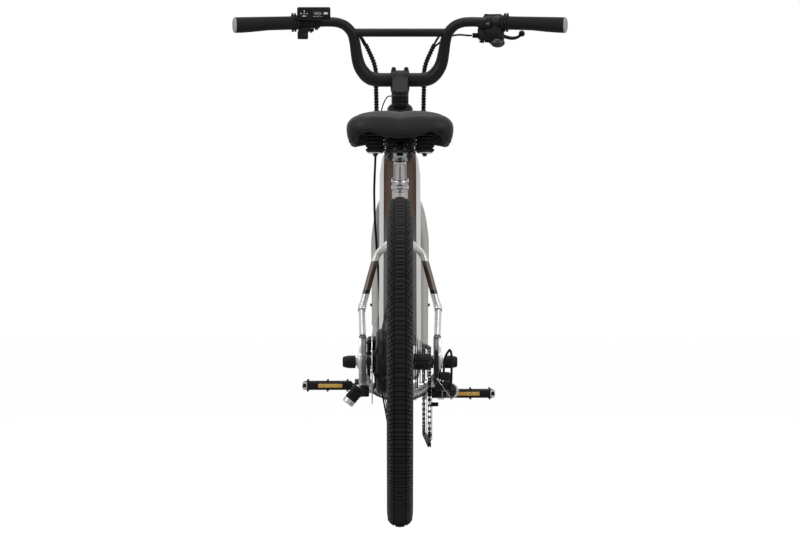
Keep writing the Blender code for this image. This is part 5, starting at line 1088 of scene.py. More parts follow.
spring = swept(
    np.column_stack([
        0.0882 + 0.0062 * np.linspace(0, 1, 120),
        -0.581 + 0.0052 * np.cos(np.linspace(0, 10 * np.pi, 120)),
        0.2925 + 0.0052 * np.sin(np.linspace(0, 10 * np.pi, 120)),
    ]), 0.0006, 8, reference=(1.0, 0.3, 0.1),
)
piece(
    "changer_links", [*edges, brace, *stop_screws, spring, *cage_bolts], polished, "frame",
    sharp=35.0,
)
piece("changer_cage", [outer_cage], black_paint, "frame", sharp=30.0)
piece("changer_inner_cage", [inner_cage], steel, "frame", sharp=30.0)


# Rear axle and its caps
# The through axle is held by nuts; a tapered black plastic cap covers each end.
rear_axle = [rod(REAR - 0.0935 * ACROSS, REAR + 0.0935 * ACROSS, 0.006, 24, 0.0008)]
for side in (-1, 1):
    rear_axle.append(hexagon(REAR + side * 0.0910 * ACROSS, (side, 0, 0), 0.0100, 0.0026))
piece("rear_axle_skin", rear_axle, brushed, "frame", ["rear_axle"], 30.0)
for side, word in ((-1, "left"), (1, "right")):
    cap = [(0.0118, 0.0), (0.0135, 0.0008), (0.0137, 0.0100), (0.0131, 0.0175), (0.0115, 0.0245)]
    cap += [(0.0105, 0.0266), (0.0085, 0.0278)]
    shape = turned(cap, REAR + side * 0.0938 * ACROSS, (side, 0.0, 0.0), 48)
    piece(
        "axle_cap_" + word + "_skin", [shape], black_plastic, "frame", ["axle_cap_" + word]
    )


# Pedals
# Black moulded platforms with steel pins turn on the spindles in the arms. Each has an amber
# reflector in a window of its front and rear edge and a bright cap on its outer end.
amber = bpy.data.materials.new("amber reflector")
amber.use_nodes = True
tree = amber.node_tree
shader = tree.nodes["Principled BSDF"]
place = node(tree, "ShaderNodeTexCoord")
cells = node(tree, "ShaderNodeTexVoronoi", in_Scale=420.0)
shade = node(tree, "ShaderNodeValToRGB")
shade.color_ramp.elements[0].color = (0.62, 0.37, 0.055, 1.0)
shade.color_ramp.elements[1].color = (0.40, 0.22, 0.020, 1.0)
relief = node(tree, "ShaderNodeBump", in_Strength=0.35, in_Distance=0.0004)
tree.links.new(place.outputs["Object"], cells.inputs["Vector"])
tree.links.new(cells.outputs["Distance"], shade.inputs[0])
tree.links.new(cells.outputs["Distance"], relief.inputs["Height"])
tree.links.new(shade.outputs[0], shader.inputs["Base Color"])
tree.links.new(relief.outputs["Normal"], shader.inputs["Normal"])
shader.inputs["Roughness"].default_value = 0.2
shader.inputs["Coat Weight"].default_value = 0.5
REACH = 0.170 * np.array((0.0, math.cos(math.radians(4.2)), -math.sin(math.radians(4.2))))
for side, word in ((-1, "left"), (1, "right")):
    refined("pedal_" + word, black_plastic, 0.0008)
    body = f"pedal_{word}_set"
    middle = CRANK + side * REACH + side * 0.1565 * ACROSS
    lenses, trims = [], []
    for way in (-1, 1):
        lens = middle + (-side * 0.0060, way * 0.0462, 0.0)
        lenses.append(block((0.0520, 0.0028, 0.0082), lens, rounding=0.0008))
        trims.append(block((0.0570, 0.0018, 0.0125), lens - (0.0, way * 0.0004, 0.0), rounding=0.0007))
    end = middle + side * 0.0535 * ACROSS
    caps, brackets = [], []
    for way in (-1, 1):
        for up in (-1, 1):
            foot = middle + (side * 0.0490, way * 0.0462, up * 0.0062)
            brackets.append(block((0.0090, 0.0026, 0.0046), foot, rounding=0.0008))
        brackets.append(
            block((0.0020, 0.0030, 0.0150), middle + (side * 0.0450, way * 0.0462, 0.0), rounding=0.0006)
        )
    brackets.append(rod(end - side * 0.004 * ACROSS, end + side * 0.0018 * ACROSS, 0.0072, 24, 0.0010))
    for across in (-0.4, 0.0, 0.4):
        for ahead in (-0.0415, 0.0415):
            for up in (-1, 1):
                foot = middle + (across * 0.107, ahead, up * 0.0088)
                caps.append(rod(foot, foot + (0.0, 0.0, up * 0.0040), 0.0018, 12, 0.0004))
    piece("reflectors_" + word, lenses, amber, body)
    piece("reflector_frames_" + word, trims, black_paint, body)
    piece("pedal_pins_" + word, caps, dark_steel, body)
    piece("pedal_brackets_" + word, brackets, steel, body)


# Kickstand
# A bent aluminium leg turns on a bolt under the left chainstay and folds back along it; a ribbed
# black rubber foot with a bright cap is pushed over its end.
KICK = [
    (-0.0925, 0.140, 0.287), (-0.1030, 0.100, 0.276), (-0.1080, 0.030, 0.267),
    (-0.1040, -0.050, 0.271), (-0.0970, -0.090, 0.279), (-0.0960, -0.118, 0.283),
]
leg_line = flowing(np.array(KICK) - (0.0, HALF_BASE, 0.0), 8)
eye = rod(behind(-0.0843, 0.140, 0.287), behind(-0.1005, 0.140, 0.287), 0.0115, 32, 0.0012)
eye_bolt = hexagon(behind(-0.1005, 0.140, 0.287), (-1, 0, 0), 0.0062, 0.0030)
piece(
    "kickstand_skin", [swept(leg_line, 0.0072, 24), eye, eye_bolt], brushed, "kickstand_set",
    ["kickstand_leg"],
)
foot_start = behind(-0.0850, -0.108, 0.2970)
foot_way = unit(behind(-0.1109, -0.108, 0.2648) - foot_start)
foot_across = np.cross(foot_way, (0.0, 1.0, 0.0))


def squared_circle(count, power):
    """The cosine and sine of equal steps, each with its size raised to 2 / power."""
    angle = equal_turns(count, 0.5)
    c, s = np.cos(angle), np.sin(angle)
    return np.sign(c) * np.abs(c) ** (2 / power), np.sign(s) * np.abs(s) ** (2 / power), s


def foot_rings(first, last, wide, deep, ribs, fade):
    """Rounded rectangles |a / wide|^3 + |b / deep|^3 = 1 along the foot, less a cosine rib, drawn
    in over the last fade of each end."""
    share = np.linspace(0.0, 1.0, 97)
    along = first + (last - first) * share
    edge = np.minimum(share, 1 - share) * (last - first)
    drawn = np.sqrt(1 - 0.36 * np.clip(1 - edge / fade, 0, 1) ** 2)
    rib = 1 - 0.075 * (0.5 - 0.5 * np.cos(2 * np.pi * share * ribs)) * smoothstep(edge / 0.003 - 0.6)
    a, b, _ = squared_circle(56, 3)
    around = wide * a[:, None] * foot_across + deep * b[:, None] * np.array((0.0, 1.0, 0.0))
    line = foot_start + along[:, None] * foot_way
    return skin(line[:, None] + (rib * drawn)[:, None, None] * around[None])


foot_rubber = grained("foot rubber", 0.0035, 0.0070, 700.0, 0.6, 0.2, 0.3, shine=0.12)
piece(
    "kickstand_foot_skin", [foot_rings(0.0, 0.0310, 0.0136, 0.0230, 6, 0.003)], foot_rubber,
    "kickstand_set", ["kickstand_foot"], 50.0,
)
piece(
    "kickstand_cap", [foot_rings(0.0295, 0.0415, 0.0128, 0.0222, 0, 0.002)], brushed,
    "kickstand_set",
)


# Seatpost and its collar
# A polished post slides in the seat tube and ends in a round cradle with two bright lobes; a
# turned, polished collar with a slit and a bolt clamps it.


def split_band(profile, centre, axis, slit, half_gap, steps=72):
    """A closed (radius, height) profile carried round an axis from one side of a slit to the
    other: centre + height * axis + radius * (cos a * slit + sin a * across)."""
    profile, axis = np.asarray(profile, float), unit(axis)
    slit = unit(np.asarray(slit, float) - np.dot(slit, axis) * axis)
    angle = np.linspace(half_gap, 2 * np.pi - half_gap, steps)
    around = np.cos(angle)[:, None] * slit + np.sin(angle)[:, None] * np.cross(axis, slit)
    points = np.asarray(centre) + profile[None, :, 1:] * axis + profile[None, :, :1] * around[:, None]
    return skin(points)


collar = [
    (0.0140, 0.0), (0.0172, 0.0), (0.0186, 0.0012), (0.0190, 0.0035), (0.0189, 0.0068),
    (0.0180, 0.0092), (0.0172, 0.0108), (0.0172, 0.0138), (0.0181, 0.0154), (0.0190, 0.0182),
    (0.0190, 0.0215), (0.0184, 0.0242), (0.0172, 0.0256), (0.0140, 0.0257),
]
collar_parts = [split_band(collar, seat(0.4673), SEAT_LINE, -SEAT_AHEAD, 0.055)]
collar_bolt = [rod(seat(0.480, -0.0195, -0.0095), seat(0.480, -0.0195, 0.0095), 0.0034, 20, 0.0006)]
for side in (-1, 1):
    lug = rod(seat(0.480, -0.0186, side * 0.0016), seat(0.480, -0.0186, side * 0.0075), 0.0052, 24, 0.001)
    collar_parts.append(lug)
piece("seat_collar_skin", collar_parts, polished, "frame", ["seat_collar"])
piece("seat_collar_bolt", collar_bolt, steel, "frame")
SEAT_HEAD = seat(0.544)
post = turned(
    [(0.0130, 0.0), (0.0136, 0.0006), (0.0136, 0.176), (0.0133, 0.182), (0.0120, 0.187),
     (0.0098, 0.1905), (0.0070, 0.192)], seat(0.347), SEAT_LINE, 64,
)
post_parts = [post, rod(SEAT_HEAD - 0.0165 * ACROSS, SEAT_HEAD + 0.0165 * ACROSS, 0.0095, 48, 0.0012)]
for side in (-1, 1):
    lobe = SEAT_HEAD + (side * 0.0112, -0.0085, 0.0060)
    post_parts.append(turned(
        [(0.0008, -0.0100), (0.0034, -0.0088), (0.0051, -0.0055), (0.0056, 0.0), (0.0051, 0.0050),
         (0.0034, 0.0078), (0.0008, 0.0088)], lobe, (0.0, -0.05, 1.0), 32,
    ))
piece("seatpost_skin", post_parts, polished, "seatpost_set", ["seatpost"])


# Saddle
# Moulded foam under a stretched vinyl skin sits on a stiff base plate. Rails of spring steel and
# two ribbed elastomer springs on a cross plate carry it on the post's clamp.
REAR_EDGE = -0.455
BASE_TOP = 0.8353
PLAN = [
    (0.0, 0.0), (0.036, 0.0002), (0.0660, 0.0016), (0.0880, 0.0058), (0.1030, 0.0150),
    (0.1110, 0.0270), (0.1150, 0.0450), (0.1105, 0.0680), (0.0980, 0.0930), (0.0790, 0.1210),
    (0.0575, 0.1520), (0.0430, 0.1820), (0.0345, 0.2120), (0.0280, 0.2400), (0.0215, 0.2600),
    (0.0110, 0.2688), (0.0, 0.2700),
]


def saddle_grid():
    """Rows of points from the crown's spine out to the edge, down the skirt, round its lip and
    back up inside. The crown is side + (top - side) * (1 - w^3.2)^(1 / 2.2) less a dip along the
    middle, where w is the share of the way from the spine to the edge."""
    right = flowing(PLAN, 7)
    edge = np.vstack([right, right[-2:0:-1] * (-1.0, 1.0)])
    x, back = edge[:, 0], edge[:, 1]
    spine = np.clip(back, 0.060, 0.236)
    t = back / 0.270
    hang = 0.0245 * np.clip(1 - (t - 0.40) / 0.42, 0.03, 1.0)

    def top_of(share):
        return 0.888 - 0.020 * share**2 - 0.09 * np.maximum(0, share - 0.86)

    side = BASE_TOP + 0.40 * (top_of(t) - BASE_TOP) - 0.3 * hang
    arch = np.interp(
        np.abs(x), [0, 0.040, 0.060, 0.072, 0.084, 0.094, 0.102, 0.108, 0.115],
        [0.8274, 0.8300, 0.8360, 0.8400, 0.8418, 0.8400, 0.8300, 0.8150, 0.8110],
    )
    flank = np.interp(
        back, [0.045, 0.070, 0.110, 0.150, 0.190, 0.230, 0.270],
        [0.8110, 0.8098, 0.8150, 0.8260, 0.8320, 0.8350, 0.8362],
    )
    lip = np.where(back < 0.045, arch, flank)
    rows = []
    for w in np.sin(np.linspace(0.03, 1.0, 30) * np.pi / 2):
        here_x, here = x * w, spine + (back - spine) * w
        dip = 0.0042 * np.exp(-((here_x / 0.0190) ** 2)) * np.clip(1 - here / 0.2, 0, 1)
        groove = 0.0011 * np.exp(-(((w - 0.80) / 0.018) ** 2))
        high = side + (top_of(here / 0.270) - side) * (1 - w**3.2) ** (1 / 2.2)
        rows.append(np.column_stack([here_x, here, high - dip - groove]))
    outward_way = unit(np.column_stack([x, back - spine]))

    def drawn_in(inset, high):
        """The edge moved inward by the inset, at these heights."""
        return np.column_stack([edge - inset * outward_way, high])

    for share in np.linspace(0.12, 1.0, 9):
        rows.append(drawn_in(0.0105 * share**2.2, side - (side - lip) * share))
    for inset, rise in ((0.0125, -0.0012), (0.0150, -0.0010), (0.0168, 0.0010), (0.0172, 0.0040)):
        rows.append(drawn_in(inset, lip + rise))
    rows.append(drawn_in(0.0180, np.maximum(lip + 0.006, BASE_TOP)))
    for w in (0.6, 0.25):
        rows.append(np.column_stack([x * w, spine + (back - spine) * w, np.full(len(x), BASE_TOP)]))
    grid = np.array(rows)
    grid[:, :, 1] += REAR_EDGE
    return grid


def vinyl():
    """Black vinyl: fine pebbled grain, a broad soft mottle and a faint sheen."""
    look = grained("saddle vinyl", 0.0055, 0.0105, 700.0, 0.42, 0.16, 0.2, shine=0.22)
    tree, shader, _ = opened(look)
    place = node(tree, "ShaderNodeTexCoord")
    pebbles = node(tree, "ShaderNodeTexVoronoi", in_Scale=520.0)
    relief = node(tree, "ShaderNodeBump", in_Strength=0.45, in_Distance=0.0004)
    old = shader.inputs["Normal"].links[0].from_socket
    tree.links.new(place.outputs["Object"], pebbles.inputs["Vector"])
    tree.links.new(pebbles.outputs["Distance"], relief.inputs["Height"])
    tree.links.new(old, relief.inputs["Normal"])
    tree.links.new(relief.outputs["Normal"], shader.inputs["Normal"])
    return look


saddle_look = vinyl()
shell_rows = saddle_grid()
cushion = piece(
    "saddle_cushion_skin", [skin(shell_rows)], saddle_look, "saddle_set",
    ["saddle_cushion"], 60.0,
)
bead_line = np.vstack([shell_rows[36], shell_rows[36][:1]])
bead = skin(
    np.stack([
        bead_line[:-1] + 0.0013 * (
            math.cos(a) * unit(shell_rows[36] - (0, -0.35, 0.83)) + math.sin(a) * np.array((0, 0, 1))
        )
        for a in equal_turns(8)
    ]), "ring",
)
piece("saddle_piping", [bead], foot_rubber, "saddle_set", sharp=60.0)
refined("saddle_base", black_plastic, 0.0006)
RAIL = [
    (0.020, 0.115, 0.828), (0.021, 0.085, 0.820), (0.022, 0.040, 0.8085), (0.022, 0.0, 0.807),
    (0.022, -0.040, 0.804), (0.026, -0.070, 0.797), (0.031, -0.105, 0.7965),
]
rails = []
for side in (-1, 1):
    line = SEAT_HEAD + flowing(np.array(RAIL) * (side, 1, 1) - (0, 0, 0.790), 8)
    rails.append(swept(line, 0.0035, 16, reference=(1.0, 0.0, 0.0)))
clamp_place = SEAT_HEAD + (0.0, 0.0, 0.0165)
clamp_parts = [
    block((0.0600, 0.034, 0.0058), clamp_place + (0, 0, 0.0034), rounding=0.002),
    block((0.0600, 0.034, 0.0058), clamp_place - (0, 0, 0.0034), rounding=0.002),
    block((0.0160, 0.020, 0.0200), clamp_place + (0, 0, 0.004), rounding=0.003),
]
yokes, clamp_bolts = [], []
for side in (-1, 1):
    yokes.append(block((0.0070, 0.028, 0.026), SEAT_HEAD + (side * 0.0205, 0, 0.0035), rounding=0.002))
    across = SEAT_HEAD + side * 0.0260 * ACROSS
    clamp_bolts.append(hexagon(across - side * 0.0020 * ACROSS, (side, 0, 0), 0.0045, 0.0028))
    for way in (-1, 1):
        head = clamp_place + (side * 0.0130, way * 0.0135, 0.0060)
        clamp_bolts.append(rod(head, head + (0, 0, 0.0045), 0.0036, 20, 0.0007))
    rear_bolt = clamp_place + (side * 0.0115, -0.0165, 0.0035)
    clamp_bolts.append(rod(rear_bolt, rear_bolt - (0, 0.0045, 0), 0.0032, 20, 0.0007))
    for lean in (-1, 1):
        foot = SEAT_HEAD + (side * (0.0225 - 0.0095 * lean), -0.030, 0.0115)
        tip = SEAT_HEAD + (side * (0.0225 + 0.0095 * lean), -0.030, 0.0345)
        yokes.append(rod(foot, tip, 0.0026, 12, 0.0006))
piece("saddle_rails_skin", rails, dark_steel, "saddle_set", ["saddle_rails"])
clamp_parts.append(block((0.0700, 0.046, 0.0240), SEAT_HEAD + (0.0, 0.086, 0.0350), rounding=0.006))
piece("saddle_clamp", clamp_parts, black_paint, "saddle_set")
piece("saddle_yokes", yokes, dark_steel, "saddle_set")
piece("saddle_bolts", clamp_bolts, dark_steel, "saddle_set")
spring_parts, cups, spring_bolts = [], [], []
for side in (-1, 1):
    foot = np.array((side * 0.053, -0.405, 0.0))
    height = np.linspace(0.7975, 0.8318, 97)
    wave = (0.8318 - height) / 0.0086
    radius = 0.0172 + 0.0038 * np.sqrt(np.clip(np.cos(2 * np.pi * (wave - 0.45)) * 0.5 + 0.5, 0, 1))
    profile = np.column_stack([radius, height])
    spring_parts.append(turned([(0.004, 0.7973), *profile, (0.004, 0.8319)], foot, (0, 0, 1), 64))
    cups.append(turned(
        [(0.006, 0.7945), (0.0158, 0.7950), (0.0170, 0.7962), (0.0170, 0.7985), (0.006, 0.7986)],
        foot, (0, 0, 1), 64,
    ))
    spring_bolts.append(rod(foot + (0, 0, 0.7950), foot + (0, 0, 0.7885), 0.0042, 20, 0.0008))
    spring_bolts.append(hexagon(foot + (0, 0, 0.7950), (0, 0, -1), 0.0068, 0.0030))
bridge = block((0.136, 0.030, 0.0030), (0.0, -0.405, 0.8020), rounding=0.0006)
under_plate = block((0.074, 0.022, 0.0020), (0.0, -0.409, 0.8078), rounding=0.0005)
piece(
    "saddle_spring_skin", spring_parts, foot_rubber, "saddle_set", ["saddle_springs"], 35.0
)
piece("saddle_spring_plates", [bridge, under_plate], black_paint, "saddle_set")
piece("saddle_spring_cups", cups, brushed, "saddle_set")
piece("saddle_spring_bolts", spring_bolts, black_paint, "saddle_set")


# Stem and handlebar
# A forged stem clamps the steerer and the bar. The bar is one bent, butted tube with a welded
# cross brace, powder-coated satin black.
BAR_CLAMP = steer(0.672, 0.0568)
BAR_HALF = 0.368
BAR_LINE = np.array([
    (0.0, 0.0, 0.0020), (0.051, 0.0, 0.0020), (0.072, -0.0005, 0.0080), (0.087, -0.0030, 0.0240),
    (0.095, -0.0050, 0.0420), (0.100, -0.0090, 0.0670), (0.103, -0.0130, 0.0870),
    (0.109, -0.0180, 0.1070), (0.123, -0.0230, 0.1230), (0.140, -0.0265, 0.1305),
    (0.160, -0.0298, 0.1325),
])
BAR_END = np.array((BAR_HALF, -0.0832, 0.1265))


def bar_point(side):
    """The middle of the bar's straight end at this distance to the right or left."""
    share = (abs(side) - BAR_LINE[-1][0]) / (BAR_HALF - BAR_LINE[-1][0])
    x, y, z = BAR_LINE[-1] + share * (BAR_END - BAR_LINE[-1])
    return BAR_CLAMP + (math.copysign(x, side), y, z - 0.0020)


half_line = np.vstack([BAR_LINE, (0.200, -0.04006, 0.13135), (0.280, -0.06060, 0.12904), BAR_END])
half_radii = [
    0.0159, 0.0159, 0.0157, 0.0149, 0.0141, 0.0131, 0.0125, 0.0119, 0.0113, 0.0111, 0.0111, 0.0111,
    0.0111, 0.0111,
]
right_half = flowing(np.column_stack([half_line - (0, 0, 0.0020), half_radii]), 8)
whole_bar = np.vstack([right_half[:0:-1] * (-1, 1, 1, 1), right_half])
bar_parts = [swept(BAR_CLAMP + whole_bar[:, :3], whole_bar[:, 3], 40, reference=(0.0, 1.0, 0.0))]
brace = BAR_CLAMP + (0.0, -0.0180, 0.1065)
bar_parts.append(rod(brace - 0.1075 * ACROSS, brace + 0.1075 * ACROSS, 0.0095, 36, 0.003))
piece("handlebar_skin", bar_parts, black_paint, "steering", ["handlebar"], 50.0)
refined("stem", black_paint, 0.0012, 35.0)
stem_bolts = []
for along in (0.6403, 0.6593):
    for side in (-1, 1):
        start = steer(along, -0.0190, side * 0.0128)
        stem_bolts.append(rod(start, start + side * 0.0022 * ACROSS, 0.0036, 20, 0.0005))
for side in (-1, 1):
    tip = BAR_CLAMP + (side * 0.0143, 0.0, 0.0277)
    stem_bolts.append(rod(tip - (0, 0, 0.001), tip + (0, 0, 0.0012), 0.0030, 20, 0.0004))
piece("stem_bolts", stem_bolts, dark_steel, "steering")


def ellipsoid(centre, size, steps, sides):
    """A ball, (cos a, sin a) turned about Z, with its half axes scaled to the size."""
    angle = np.linspace(-np.pi / 2 + 0.04, np.pi / 2 - 0.04, steps)
    points, quads, triangles = turned(arc_points(1.0, angle), (0, 0, 0), (0, 0, 1), sides)
    return points * size + centre, quads, triangles


ears, sockets = [], []
for side in (-1, 1):
    foot = BAR_CLAMP + (side * 0.0143, -0.0010, 0.0130)
    ears.append(turned(
        [
            (0.0060, 0.0), (0.0062, 0.0040), (0.0056, 0.0080), (0.0040, 0.0120), (0.0022, 0.0150),
            (0.0006, 0.0164),
        ],
        foot, (0.0, 0.0, 1.0), 32,
    ))
    swell = BAR_CLAMP + (side * 0.0130, -0.0110, -0.0190)
    ears.append(ellipsoid(swell, (0.0088, 0.0100, 0.0170), 21, 32))
    hole = BAR_CLAMP + (side * 0.0133, -0.0212, 0.0085)
    sockets.append(ring(hole, hole - (0.0, 0.0016, 0.0), 0.0034, 0.0020, 24, 0.0004))
ribs = []
for drop in (-0.0040, -0.0085):
    line = np.array([(-0.0155, -0.0218, drop), (0.0, -0.0228, drop - 0.0015), (0.0155, -0.0218, drop)])
    line = BAR_CLAMP + line + (0.0, 0.4 * abs(drop), 0.0)
    ribs.append(swept(flowing(line), 0.0009, 10, reference=(0.0, 0.0, 1.0)))
piece("stem_shoulders", [*ears, *ribs], black_paint, "steering", sharp=50.0)
piece("stem_sockets", sockets, dark_steel, "steering")


# Grips
# Moulded rubber grips with rows of fine ribs, an inner clamp collar with two bolts and a domed
# grey end cap.
grip_rubber = grained("grip rubber", 0.0040, 0.0080, 800.0, 0.55, 0.2, 0.3, shine=0.14)
cap_grey = grained("grey cap plastic", 0.30, 0.36, 500.0, 0.42, 0.1, 0.1, shine=0.3)
GRIP = [
    (0.2300, 0.0152, 0.0152, 0.0), (0.2310, 0.0164, 0.0164, 0.0), (0.2448, 0.0165, 0.0165, 0.0),
    (0.2460, 0.0157, 0.0158, -0.0004), (0.2475, 0.0154, 0.0156, -0.0010),
    (0.2600, 0.0155, 0.0157, -0.0011), (0.3000, 0.0158, 0.0162, -0.0013),
    (0.3330, 0.0172, 0.0182, -0.0027), (0.3600, 0.0180, 0.0192, -0.0035),
    (0.3730, 0.0178, 0.0189, -0.0035),
]


def grip_rings(side, reach):
    """Oval sections along the bar: |a / deep|^2.3 + |b / tall|^2.3 = 1, less fine ribs that run
    round the grip on its lower and its upper side."""
    known = np.array(GRIP)
    tall, deep, drop = (np.interp(reach, known[:, 0], known[:, k]) for k in (1, 2, 3))
    along = unit(bar_point(side * BAR_HALF) - bar_point(side * 0.2295))
    ahead = unit(np.cross((0.0, 0.0, 1.0), side * along))
    up = unit(np.cross(side * along, ahead))
    centre = np.array([bar_point(side * r) for r in reach])
    centre = centre + drop[:, None] * up - (deep - tall)[:, None] * ahead
    a, b, sine = squared_circle(72, 2.3)
    zone = smoothstep((reach - 0.252) / 0.004) * smoothstep((0.368 - reach) / 0.004)
    rib = 0.00055 * zone[:, None] * (0.5 - 0.5 * np.cos(2 * np.pi * reach / 0.0032))[:, None]
    cut = rib * smoothstep((np.abs(sine)[None, :] - 0.25) / 0.15)
    out = (deep[:, None] - cut) * a
    high = (tall[:, None] - cut) * b
    return centre[:, None] + out[..., None] * ahead + high[..., None] * up, (ahead, up, along)


for side, word in ((-1, "left"), (1, "right")):
    reach = np.concatenate([np.linspace(0.2300, 0.2470, 12), np.linspace(0.2475, 0.3740, 328)])
    rings, (ahead, up, along) = grip_rings(side, reach)
    piece(
        f"grip_{word}_skin", [skin(rings)], grip_rubber, "steering", ["grip_" + word], 40.0
    )
    end = rings[-1]
    middle = end.mean(0)
    cap_rings = [middle + (end - middle) * w + along * h for w, h in (
        (0.97, -0.0006), (0.975, 0.0004), (0.950, 0.0016), (0.89, 0.0025), (0.76, 0.0033),
        (0.56, 0.0038), (0.30, 0.0041), (0.08, 0.0042),
    )]
    piece(f"grip_cap_{word}", [skin(cap_rings)], cap_grey, "steering", sharp=60.0)
    flange, bolts = [], []
    for low, high, outer in ((0.2362, 0.2392, 0.0188), (0.2420, 0.2450, 0.0194)):
        flange.append(ring(bar_point(side * low), bar_point(side * high), outer, 0.0150, 56, 0.0007))
        for lift in (-1, 1):
            nub = bar_point(side * (low + high) / 2) + lift * outer * up
            flange.append(rod(nub - lift * 0.003 * up, nub + lift * 0.0022 * up, 0.0024, 16, 0.0006))
    piece(f"grip_flanges_{word}", flange, grip_rubber, "steering")
    for spot in (0.2345, 0.2415):
        head = bar_point(side * spot) - 0.0160 * ahead
        bolts.append(rod(head, head - 0.0012 * ahead, 0.0021, 16, 0.0004))
    piece(f"grip_bolts_{word}", bolts, dark_steel, "steering")


# Brake levers
# Forged levers with a ball end turn on pins in the cast perches, which hold the master cylinders
# and are clamped round the bar; the lid of each cylinder is held by two small screws.
square_on = {
    side: unit((-side * (BAR_END[1] - BAR_LINE[-1][1]) / (BAR_HALF - BAR_LINE[-1][0]), 1.0, 0.0))
    for side in (-1, 1)
}
bar_turn = {
    side: (0.0, 0.0, side * math.atan2(BAR_END[1] - BAR_LINE[-1][1], BAR_HALF - BAR_LINE[-1][0]))
    for side in (-1, 1)
}


def off_bar(side, across, ahead=0.0, up=0.0):
    """A point square off the bar's straight end, ahead of it and above it."""
    return bar_point(side * across) + ahead * square_on[side] + (0.0, 0.0, up)


LEVER_LEFT = [
    (0.0, 0.0005, -0.0065), (0.0160, 0.0080, -0.0050), (0.0360, 0.0095, -0.0035),
    (0.0560, 0.0080, -0.0030),
]
LEVER_RIGHT = [
    (0.0, 0.0005, -0.0085), (0.0048, 0.0035, -0.0180), (0.0170, 0.0085, -0.0262),
    (0.0342, 0.0097, -0.0300), (0.0472, 0.0087, -0.0272), (0.0559, 0.0077, -0.0195),
]
for side, word, band, steps in (
    (-1, "left", (0.1965, 0.2075), LEVER_LEFT), (1, "right", (0.2140, 0.2285), LEVER_RIGHT),
):
    middle = sum(band) / 2
    pivot = off_bar(side, middle - 0.0105, 0.0445, -0.004)
    refined("brake_perch_" + word, black_paint, 0.0012, 35.0)
    line = pivot + flowing(np.array(steps) * (side, 1, 1), 10)
    share = np.linspace(0, 1, len(line))
    blade = swept(line, 0.0042 + 0.0016 * np.sin(np.pi * share) ** 2, 24, 0.72, (0.0, 1.0, 0.0))
    angle = np.linspace(-np.pi / 2 + 0.05, np.pi / 2 - 0.05, 17)
    ball = turned(arc_points(0.0072, angle), line[-1], (side, 0, 0), 32)
    knuckle = ring(pivot - (0, 0, 0.0158), pivot + (0, 0, 0.0027), 0.0066, 0.0029, 32, 0.0008)
    body = f"brake_lever_{word}_set"
    piece(
        f"brake_lever_{word}_skin", [blade, ball, knuckle], black_paint, body,
        ["brake_lever_" + word],
    )
    lid = off_bar(side, middle - 0.0190, 0.0395, 0.0188)
    lid_parts = [block((0.038, 0.021, 0.0020), lid, bar_turn[side], 0.0009)]
    screws = []
    for way in (-1, 1):
        spot = off_bar(side, middle - 0.0190 + way * 0.0155, 0.0395, 0.0196)
        screws.append(rod(spot, spot + (0, 0, 0.0010), 0.0022, 16, 0.0003))
        spot = off_bar(side, middle, 0.0100, 0.0135 * way)
        screws.append(rod(spot, spot - 0.004 * way * np.array((0, 0, 1)), 0.0027, 16, 0.0004))
    screws.append(rod(pivot + (0, 0, 0.0042), pivot + (0, 0, 0.0062), 0.0042, 24, 0.0006))
    nut = off_bar(side, middle - 0.0410, 0.0395, 0.0070)
    lid_parts.append(rod(nut, nut - side * 0.010 * ACROSS, 0.0046, 24, 0.0008))
    piece(f"reservoir_lid_{word}", lid_parts, black_plastic, "steering")
    piece(f"perch_screws_{word}", screws, dark_steel, "steering")


# Display and throttle
# The display's moulded case hangs behind the bar on a clamp, with a small screen and a rubber
# keypad. Beside it a thumb paddle turns the throttle's ring round the bar.
pale_mark = grained("pale print", (0.62, 0.63, 0.64), (0.70, 0.71, 0.72), 900.0, 0.5, 0.1, 0.02)
screen_glass = grained(
    "screen glass", (0.006, 0.007, 0.008), (0.010, 0.011, 0.012), 60.0, 0.10, 0.04, 0.0, shine=0.12
)
refined("display_unit", black_plastic, 0.0006)
refined("display_keypad", grip_rubber, 0.0004)
case = bar_point(-0.19) + (-0.0054, -0.0335, 0.0175)
rear_face = case - (0.0, 0.0070, 0.0)
screen = rear_face + (0.0155, -0.0002, 0.0)
piece(
    "display_screen", [block((0.0400, 0.0008, 0.0210), screen, rounding=0.0003)], screen_glass,
    "steering",
)
STROKES = {
    "a": (0, 1, 1, 0), "b": (0.5, 0.5, 0, 1), "c": (0.5, -0.5, 0, 1), "d": (0, -1, 1, 0),
    "e": (-0.5, -0.5, 0, 1), "f": (-0.5, 0.5, 0, 1), "g": (0, 0, 1, 0),
}
DIGITS = {"0": "abcdef", "1": "bc", "2": "abged", "3": "abgcd", "5": "afgcd"}


def mark(wide, tall, spot, thick=0.0003, rounding=0.0001):
    """A thin printed mark on a face across the view."""
    return block((wide, thick, tall), spot, rounding=rounding, steps=1)


def digit(sign, middle, height):
    """A seven-segment digit: one thin bar for each lit segment, on a face across the view."""
    bars = []
    for letter in DIGITS[sign]:
        x, z, wide, tall = STROKES[letter]
        spot = np.asarray(middle) + (x * height * 0.5, 0.0, z * height * 0.5)
        wide, tall = height * (0.42 if wide else 0.13), height * (0.40 if tall else 0.13)
        bars.append(mark(wide, tall, spot, rounding=0.00008))
    return bars


